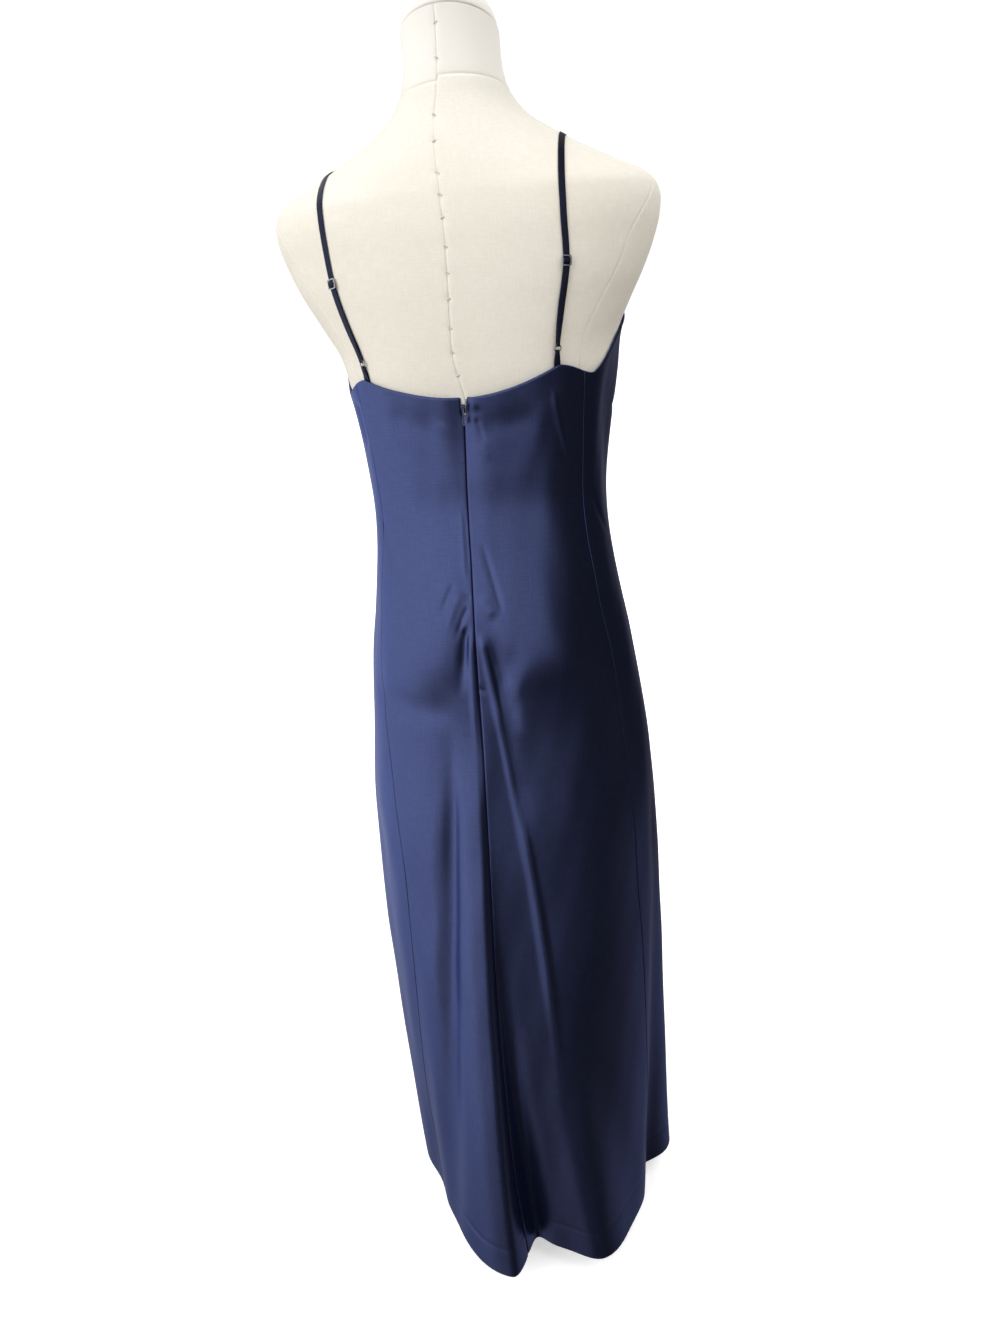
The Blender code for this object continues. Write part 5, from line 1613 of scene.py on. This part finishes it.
def ribbon(name, side, stations, sag_way):
    """A pressed tube through its stations. Where it is gathered it sags across into the ring."""
    half = STRAP_AT_RING / 2
    full_sag = RING_RADIUS - (RING_RADIUS ** 2 - half ** 2) ** 0.5
    middles, across, widths, sags = [], [], [], []
    for station in stations:
        here, normal, way_up = route_point(side, station.level, station.front)
        over = np.cross(normal, way_up)
        middles.append(here + station.lift * normal)
        across.append(over / np.linalg.norm(over))
        widths.append([towards(STRAP_WIDTH, STRAP_AT_RING, station.gathered)])
        sags.append(sag_way * station.gathered * full_sag * way_up)
    middles, across, widths, sags = (refined(np.array(rows), RIBBON_REFINE)
                                     for rows in (middles, across, widths, sags))
    along = np.gradient(middles, axis=0)
    faces_out = np.cross(across, along)
    faces_out /= np.linalg.norm(faces_out, axis=1, keepdims=True)
    turns = np.radians(np.linspace(0.0, 360.0, RIBBON_SIDES + 1))
    way = (np.sign(np.cos(turns)) * np.abs(np.cos(turns)) ** RIBBON_SQUARE)[None, :, None]
    rise = (np.sign(np.sin(turns)) * np.abs(np.sin(turns)) ** RIBBON_FACE)[None, :, None]
    points = (middles[:, None] + way * widths[:, None] / 2 * across[:, None]
              + way ** 2 * sags[:, None] + rise * STRAP / 2 * faces_out[:, None])
    length = np.concatenate([[0.0], np.cumsum(np.linalg.norm(np.diff(middles, axis=0), axis=1))])
    item = surface(name, points, flat_place(turns / pi * STRAP_WIDTH, length[:, None]))
    with editing():
        bpy.ops.mesh.remove_doubles(threshold=0.000005)
        select_open_edges()
        bpy.ops.mesh.edge_face_add()
    with editing():
        bpy.ops.mesh.normals_make_consistent(inside=False)
    return item


def strap_stations(side):
    top = shoulder_level(float(through(STRAP_BACK, side, STRAP_TOP_LEVEL)))
    buckle = SIDES[side].buckle_level
    wire = SIDES[side].foot_level + LOOP_LENGTH + RING_RADIUS
    start = BUST_POINT_LEVEL
    end = buckle + BUCKLE_APPROACH
    span = buckle - BUCKLE_LEAVE - wire
    stations = [Station(start - TUCK, True, TUCKED_LIFT)]
    for t in np.linspace(0.0, 1.0, SHOULDER_STEPS):
        level = towards(start, top, sin(t * pi / 2))
        settled = float(smooth_step((level - start) / STRAP_SETTLES))
        stations.append(Station(level, True, towards(TUCKED_LIFT, LOW_LIFT, settled)))
    for t in np.linspace(0.0, 1.0, SHOULDER_STEPS)[1:]:
        stations.append(Station(towards(end, top, cos(t * pi / 2)), False, LOW_LIFT))
    for step in WEAVE_STEPS:
        lift = towards(LOW_LIFT, OVER_BAR, step.over)
        stations.append(Station(buckle + step.away, False, lift))
    for step in reversed(WEAVE_STEPS[:-1]):
        lift = towards(HIGH_LIFT, OVER_BAR, step.over)
        stations.append(Station(buckle - step.away, False, lift))
    for step in STRAP_GATHER:
        lift = towards(HIGH_LIFT, RING_LIFT + LAYER_REACH, step.gathered)
        stations.append(Station(wire + step.share * span, False, lift, step.gathered))
    stations += round_the_ring(wire, -1.0)
    for step in reversed(STRAP_GATHER):
        stations.append(Station(wire + step.share * span, False, LOW_LIFT, step.gathered))
    stations.append(Station(buckle - STRAP_END, False, LOW_LIFT))
    return stations


STRAP_SATIN = (0.022, 0.026, 0.056)

# The satin of the straps is cut on the bias and turned, so it shines less.
strap_satin, tree, shader = woven_finish("strap satin", 0.45, 2600.0, 0.010, 0.15,
                                         (shade(STRAP_SATIN, 0.75), STRAP_SATIN), (0.00008, 0.5))
shader.inputs["Metallic"].default_value = 0.8
for side in SIDES:
    strap = ribbon("strap_%s_satin" % side, side, strap_stations(side), -1.0)
    dressed(strap, strap_satin, "navy_satin", "strap_" + side)


# ---------------------------------------------------------------- ring loops
# A short length of the same tube goes round each ring, and both its ends are sewn inside the
# back's top edge.

def loop_stations(side):
    foot = SIDES[side].foot_level - TUCK
    wire = SIDES[side].foot_level + LOOP_LENGTH - RING_RADIUS
    outer = CLOTH_LIFT - CLOTH / 2 - LOOP_TUCK_GAP - STRAP / 2
    inner = outer - STRAP - SEAM_GAP
    stations = []
    for step in LOOP_GATHER:
        lift = towards(outer, RING_LIFT + LAYER_REACH, step.gathered)
        stations.append(Station(towards(wire, foot, step.share), False, lift, step.gathered))
    stations += round_the_ring(wire, 1.0)
    for step in reversed(LOOP_GATHER):
        lift = towards(inner, LOW_LIFT, step.gathered)
        stations.append(Station(towards(wire, foot, step.share), False, lift, step.gathered))
    return stations


for side in SIDES:
    loop = ribbon("ring_loop_%s_satin" % side, side, loop_stations(side), 1.0)
    dressed(loop, strap_satin, "navy_satin", "ring_loop_" + side)


# ---------------------------------------------------------------- rings
# A round wire ring joins each strap to its loop. It is bent from wire and closed with a butt joint.

STEEL = (0.30, 0.31, 0.36)
STEEL_BRIGHT = (0.62, 0.64, 0.70)
JOINT_TURN = 3.0          # where the ring's ends meet, in degrees round it
JOINT_REACH = 2.5
JOINT_PINCH = 0.16


def metal_finish():
    material, tree, shader = finish_nodes("plated steel", 0.25)
    shader.inputs["Metallic"].default_value = 1.0
    brushed = object_noise(tree, 1800.0)
    colour_by(tree, shader, mask_between(tree, brushed, 0.35, 0.7), STEEL, STEEL_BRIGHT)
    roughness_by(tree, shader, brushed, 0.14, 0.2)
    return material


def stand_on_form(item, side, level, lift, lean=0.0):
    """Lay an item on the form, its Y up the strap, leaning by an angle about its X."""
    here, normal, way_up = route_point(side, level)
    across = np.cross(way_up, normal)
    across /= np.linalg.norm(across)
    upward = np.cross(normal, across)
    turn = Matrix((across, upward, normal)).transposed().to_4x4()
    hand_on(item, Matrix.Translation(here + lift * normal) @ turn @ Matrix.Rotation(lean, 4, "X"))


steel = metal_finish()
for side in SIDES:
    bpy.ops.mesh.primitive_torus_add(major_radius=RING_RADIUS, minor_radius=RING_WIRE,
                                     major_segments=72, minor_segments=20)
    ring = bpy.context.object
    ring.name = "strap_ring_%s_wire" % side
    for vertex in ring.data.vertices:
        turn = np.degrees(np.arctan2(vertex.co.y, vertex.co.x))
        pinch = JOINT_PINCH * np.exp(-(turn_between(turn, JOINT_TURN) / JOINT_REACH) ** 2)
        middle = Vector((vertex.co.x, vertex.co.y, 0.0)).normalized() * RING_RADIUS
        vertex.co = vertex.co.lerp(middle, pinch)
    bpy.ops.object.shade_smooth()
    stand_on_form(ring, side, SIDES[side].foot_level + LOOP_LENGTH, RING_LIFT)
    dressed(ring, steel, "strap_metal", "strap_ring_" + side)


# ---------------------------------------------------------------- buckles
# A small frame with two slots, stamped from plated steel with its edges rounded over.
# The strap goes under, over and under its three bars.

BUCKLE_CORNER = 0.0016
SLOT_CORNER = 0.0005
BUCKLE_EDGE = 0.00028


def rounded_outline(width, height, middle, corner):
    """A rectangle with round corners, its middle at a height."""
    points = []
    for side_x, side_y, start in ((1, 1, 0), (-1, 1, 90), (-1, -1, 180), (1, -1, 270)):
        for turn in range(0, 91, 15):
            points.append((side_x * (width / 2 - corner) + corner * cos(radians(start + turn)),
                           middle + side_y * (height / 2 - corner)
                           + corner * sin(radians(start + turn)), 0.0))
    return points


slot_width = BUCKLE_WIDTH - 2 * BUCKLE_BAR
slot_height = (BUCKLE_HEIGHT - 3 * BUCKLE_BAR) / 2
slot_middle = (slot_height + BUCKLE_BAR) / 2
for side in SIDES:
    buckle = flat_plate("strap_buckle_%s_plate" % side,
                        [rounded_outline(BUCKLE_WIDTH, BUCKLE_HEIGHT, 0.0, BUCKLE_CORNER),
                         rounded_outline(slot_width, slot_height, slot_middle, SLOT_CORNER),
                         rounded_outline(slot_width, slot_height, -slot_middle, SLOT_CORNER)],
                        BUCKLE_THICK)
    bevelled(buckle, BUCKLE_EDGE, 3, 50.0)
    hand_on(buckle, Matrix.Rotation(-pi / 2, 4, "X"))
    lean = -float(np.arctan2(BUCKLE_HIGH - BUCKLE_LOW, BUCKLE_HEIGHT - BUCKLE_BAR))
    stand_on_form(buckle, side, SIDES[side].buckle_level, BUCKLE_LIFT, lean)
    dressed(buckle, steel, "strap_metal", "strap_buckle_" + side)


# ---------------------------------------------------------------- room
# A pale floor that runs to a pale distance, three large soft lamps, and walls whose bright part the
# satin mirrors.

FLOOR = (0.80, 0.80, 0.80)
FLOOR_DULL = (0.40, 0.37, 0.33, 1.0)      # as it lights the figure
FLOOR_GLOW = 0.50         # as the camera sees it, near the figure
FLOOR_NEAR = 0.6
FLOOR_FAR = 2.6

bpy.ops.mesh.primitive_plane_add(size=60.0)
floor = bpy.context.object
floor.name = "floor"
floor_material, tree, shader = finish_nodes("pale floor", 0.9, FLOOR)
place = tree.nodes.new("ShaderNodeTexCoord")
distance = tree.nodes.new("ShaderNodeVectorMath")
distance.operation = "LENGTH"
tree.links.new(place.outputs["Object"], distance.inputs[0])
far = mask_between(tree, distance.outputs["Value"], FLOOR_NEAR, FLOOR_FAR)
glow = math_node(tree, "ADD", math_node(tree, "MULTIPLY", far, 1.0 - FLOOR_GLOW), FLOOR_GLOW)
seen = tree.nodes.new("ShaderNodeLightPath").outputs["Is Camera Ray"]
emission = tree.nodes.new("ShaderNodeEmission")
tree.links.new(math_node(tree, "MULTIPLY", glow, seen), emission.inputs["Strength"])
dull = tree.nodes.new("ShaderNodeBsdfDiffuse")
dull.inputs["Color"].default_value = FLOOR_DULL
choice = tree.nodes.new("ShaderNodeMixShader")
both = tree.nodes.new("ShaderNodeAddShader")
for output, socket in ((seen, choice.inputs[0]), (dull.outputs[0], choice.inputs[1]),
                       (shader.outputs[0], choice.inputs[2]), (choice.outputs[0], both.inputs[0]),
                       (emission.outputs[0], both.inputs[1]),
                       (both.outputs[0], tree.nodes["Material Output"].inputs["Surface"])):
    tree.links.new(output, socket)
floor.data.materials.append(floor_material)
floor.visible_glossy = False

Lamp = namedtuple("Lamp", "name angle distance height size power aim_level")

# Angles are round the figure, as the dress's are.
LAMPS = [
    Lamp("key", 50.0, 3.2, 2.4, 2.4, 90.0, 0.9),
    Lamp("front", 200.0, 3.4, 2.4, 2.0, 50.0, 0.8),
    Lamp("overhead", -75.0, 1.9, 2.9, 2.6, 75.0, 1.0),
]
for lamp in LAMPS:
    bpy.ops.object.light_add(type="AREA", location=polar(np.array(lamp.distance), lamp.angle,
                                                         lamp.height))
    light = bpy.context.object
    light.name = lamp.name
    light.data.size = lamp.size
    light.visible_glossy = False
    light.data.energy = lamp.power
    aim = Vector((0.0, 0.0, lamp.aim_level)) - light.location
    light.rotation_euler = aim.to_track_quat("-Z", "Y").to_euler()

# The room's walls are bright from the figure's left round to behind the camera. Their angles are
# round the figure too. Down towards the floor the bright part begins further to the left.
ROOM_BRIGHT = 1.12        # towards the window, on the figure's left
ROOM_BACK = 0.66          # behind the camera
ROOM_PATCH = 0.55         # more, where the light falls on the floor
ROOM_DARK = 0.030
ROOM_FRONT = 0.30         # a weaker bright part before the figure
ROOM_FLOOR = 0.32         # the floor on the figure's right
ROOM_DOWN = 0.15          # share of the brightness that is left straight down
ROOM_EDGE = -42.0         # where the bright part begins, at eye level
ROOM_EDGE_DOWN = 57.0     # and from 20 degrees below it
ROOM_EDGE_WIDTH = 9.0
ROOM_SEEN = 1.05          # as the camera sees it
ROOM_WHITE = (1.0, 1.0, 1.0)
ROOM_SHADE = (1.0, 0.80, 0.62)   # its dark parts are warm

# Each part comes in or goes out between two angles.
WINDOW_IN = (-6.0, 20.0)
PATCH_IN = (14.0, 30.0)
PATCH_OUT = (45.0, 70.0)
BRIGHT_OUT = (140.0, 170.0)
FRONT_IN = (135.0, 165.0)
RIGHT_IN = (55.0, 120.0)

# These come in between two slopes below eye level, given as sines.
EDGE_TURNS = (0.23, 0.36)
FLOOR_IN = (0.34, 0.62)
DOWN_IN = (0.35, 0.90)
WARM_OUT = (0.05, 0.50)   # between two brightnesses the warmth of the dark parts goes out

world = bpy.data.worlds.new("soft daylight")
bpy.context.scene.world = world
world.use_nodes = True
tree = world.node_tree
sky = tree.nodes["Background"]
way = tree.nodes.new("ShaderNodeTexCoord")
parts = tree.nodes.new("ShaderNodeSeparateXYZ")
tree.links.new(way.outputs["Generated"], parts.inputs[0])


def sky_math(operation, first, second=None):
    return math_node(tree, operation, first, second)


def sky_mask(value, ends):
    return mask_between(tree, value, *ends)


turn = sky_math("DEGREES", sky_math("ARCTAN2", parts.outputs["X"], parts.outputs["Y"]))
below = sky_math("MULTIPLY", parts.outputs["Z"], -1.0)
down = sky_mask(below, EDGE_TURNS)
past_edge = sky_math("SUBTRACT", turn, sky_math("MULTIPLY", down, ROOM_EDGE_DOWN - ROOM_EDGE))
bright = sky_mask(past_edge, (ROOM_EDGE - ROOM_EDGE_WIDTH / 2, ROOM_EDGE + ROOM_EDGE_WIDTH / 2))
bright = sky_math("MULTIPLY", bright, sky_math("SUBTRACT", 1.0, sky_mask(turn, BRIGHT_OUT)))
window = sky_math("MULTIPLY", sky_mask(turn, WINDOW_IN), ROOM_BRIGHT - ROOM_BACK)
bright = sky_math("MULTIPLY", bright, sky_math("ADD", window, ROOM_BACK))
patch = sky_math("SUBTRACT", sky_mask(turn, PATCH_IN), sky_mask(turn, PATCH_OUT))
patch = sky_math("MULTIPLY", patch, sky_math("MULTIPLY", down, ROOM_PATCH))
bright = sky_math("ADD", bright, patch)
before = sky_mask(sky_math("ABSOLUTE", turn), FRONT_IN)
light = sky_math("MAXIMUM", bright, sky_math("MULTIPLY", before, ROOM_FRONT))
light = sky_math("MAXIMUM", light, ROOM_DARK)
dimming = sky_math("MULTIPLY", sky_mask(below, DOWN_IN), 1.0 - ROOM_DOWN)
light = sky_math("MULTIPLY", light, sky_math("SUBTRACT", 1.0, dimming))
rightward = sky_mask(sky_math("MULTIPLY", turn, -1.0), RIGHT_IN)
low = sky_math("MULTIPLY", sky_mask(below, FLOOR_IN), ROOM_FLOOR)
light = sky_math("MAXIMUM", light, sky_math("MULTIPLY", rightward, low))
seen = tree.nodes.new("ShaderNodeLightPath").outputs["Is Camera Ray"]
white = sky_math("MAXIMUM", sky_mask(light, WARM_OUT), seen)
tree.links.new(mixed_colour(tree, white, ROOM_SHADE, ROOM_WHITE), sky.inputs["Color"])
choice = tree.nodes.new("ShaderNodeMix")
tree.links.new(seen, choice.inputs[0])
tree.links.new(light, choice.inputs[2])
choice.inputs[3].default_value = ROOM_SEEN
tree.links.new(choice.outputs[0], sky.inputs["Strength"])
bpy.context.scene.view_settings.view_transform = "Standard"
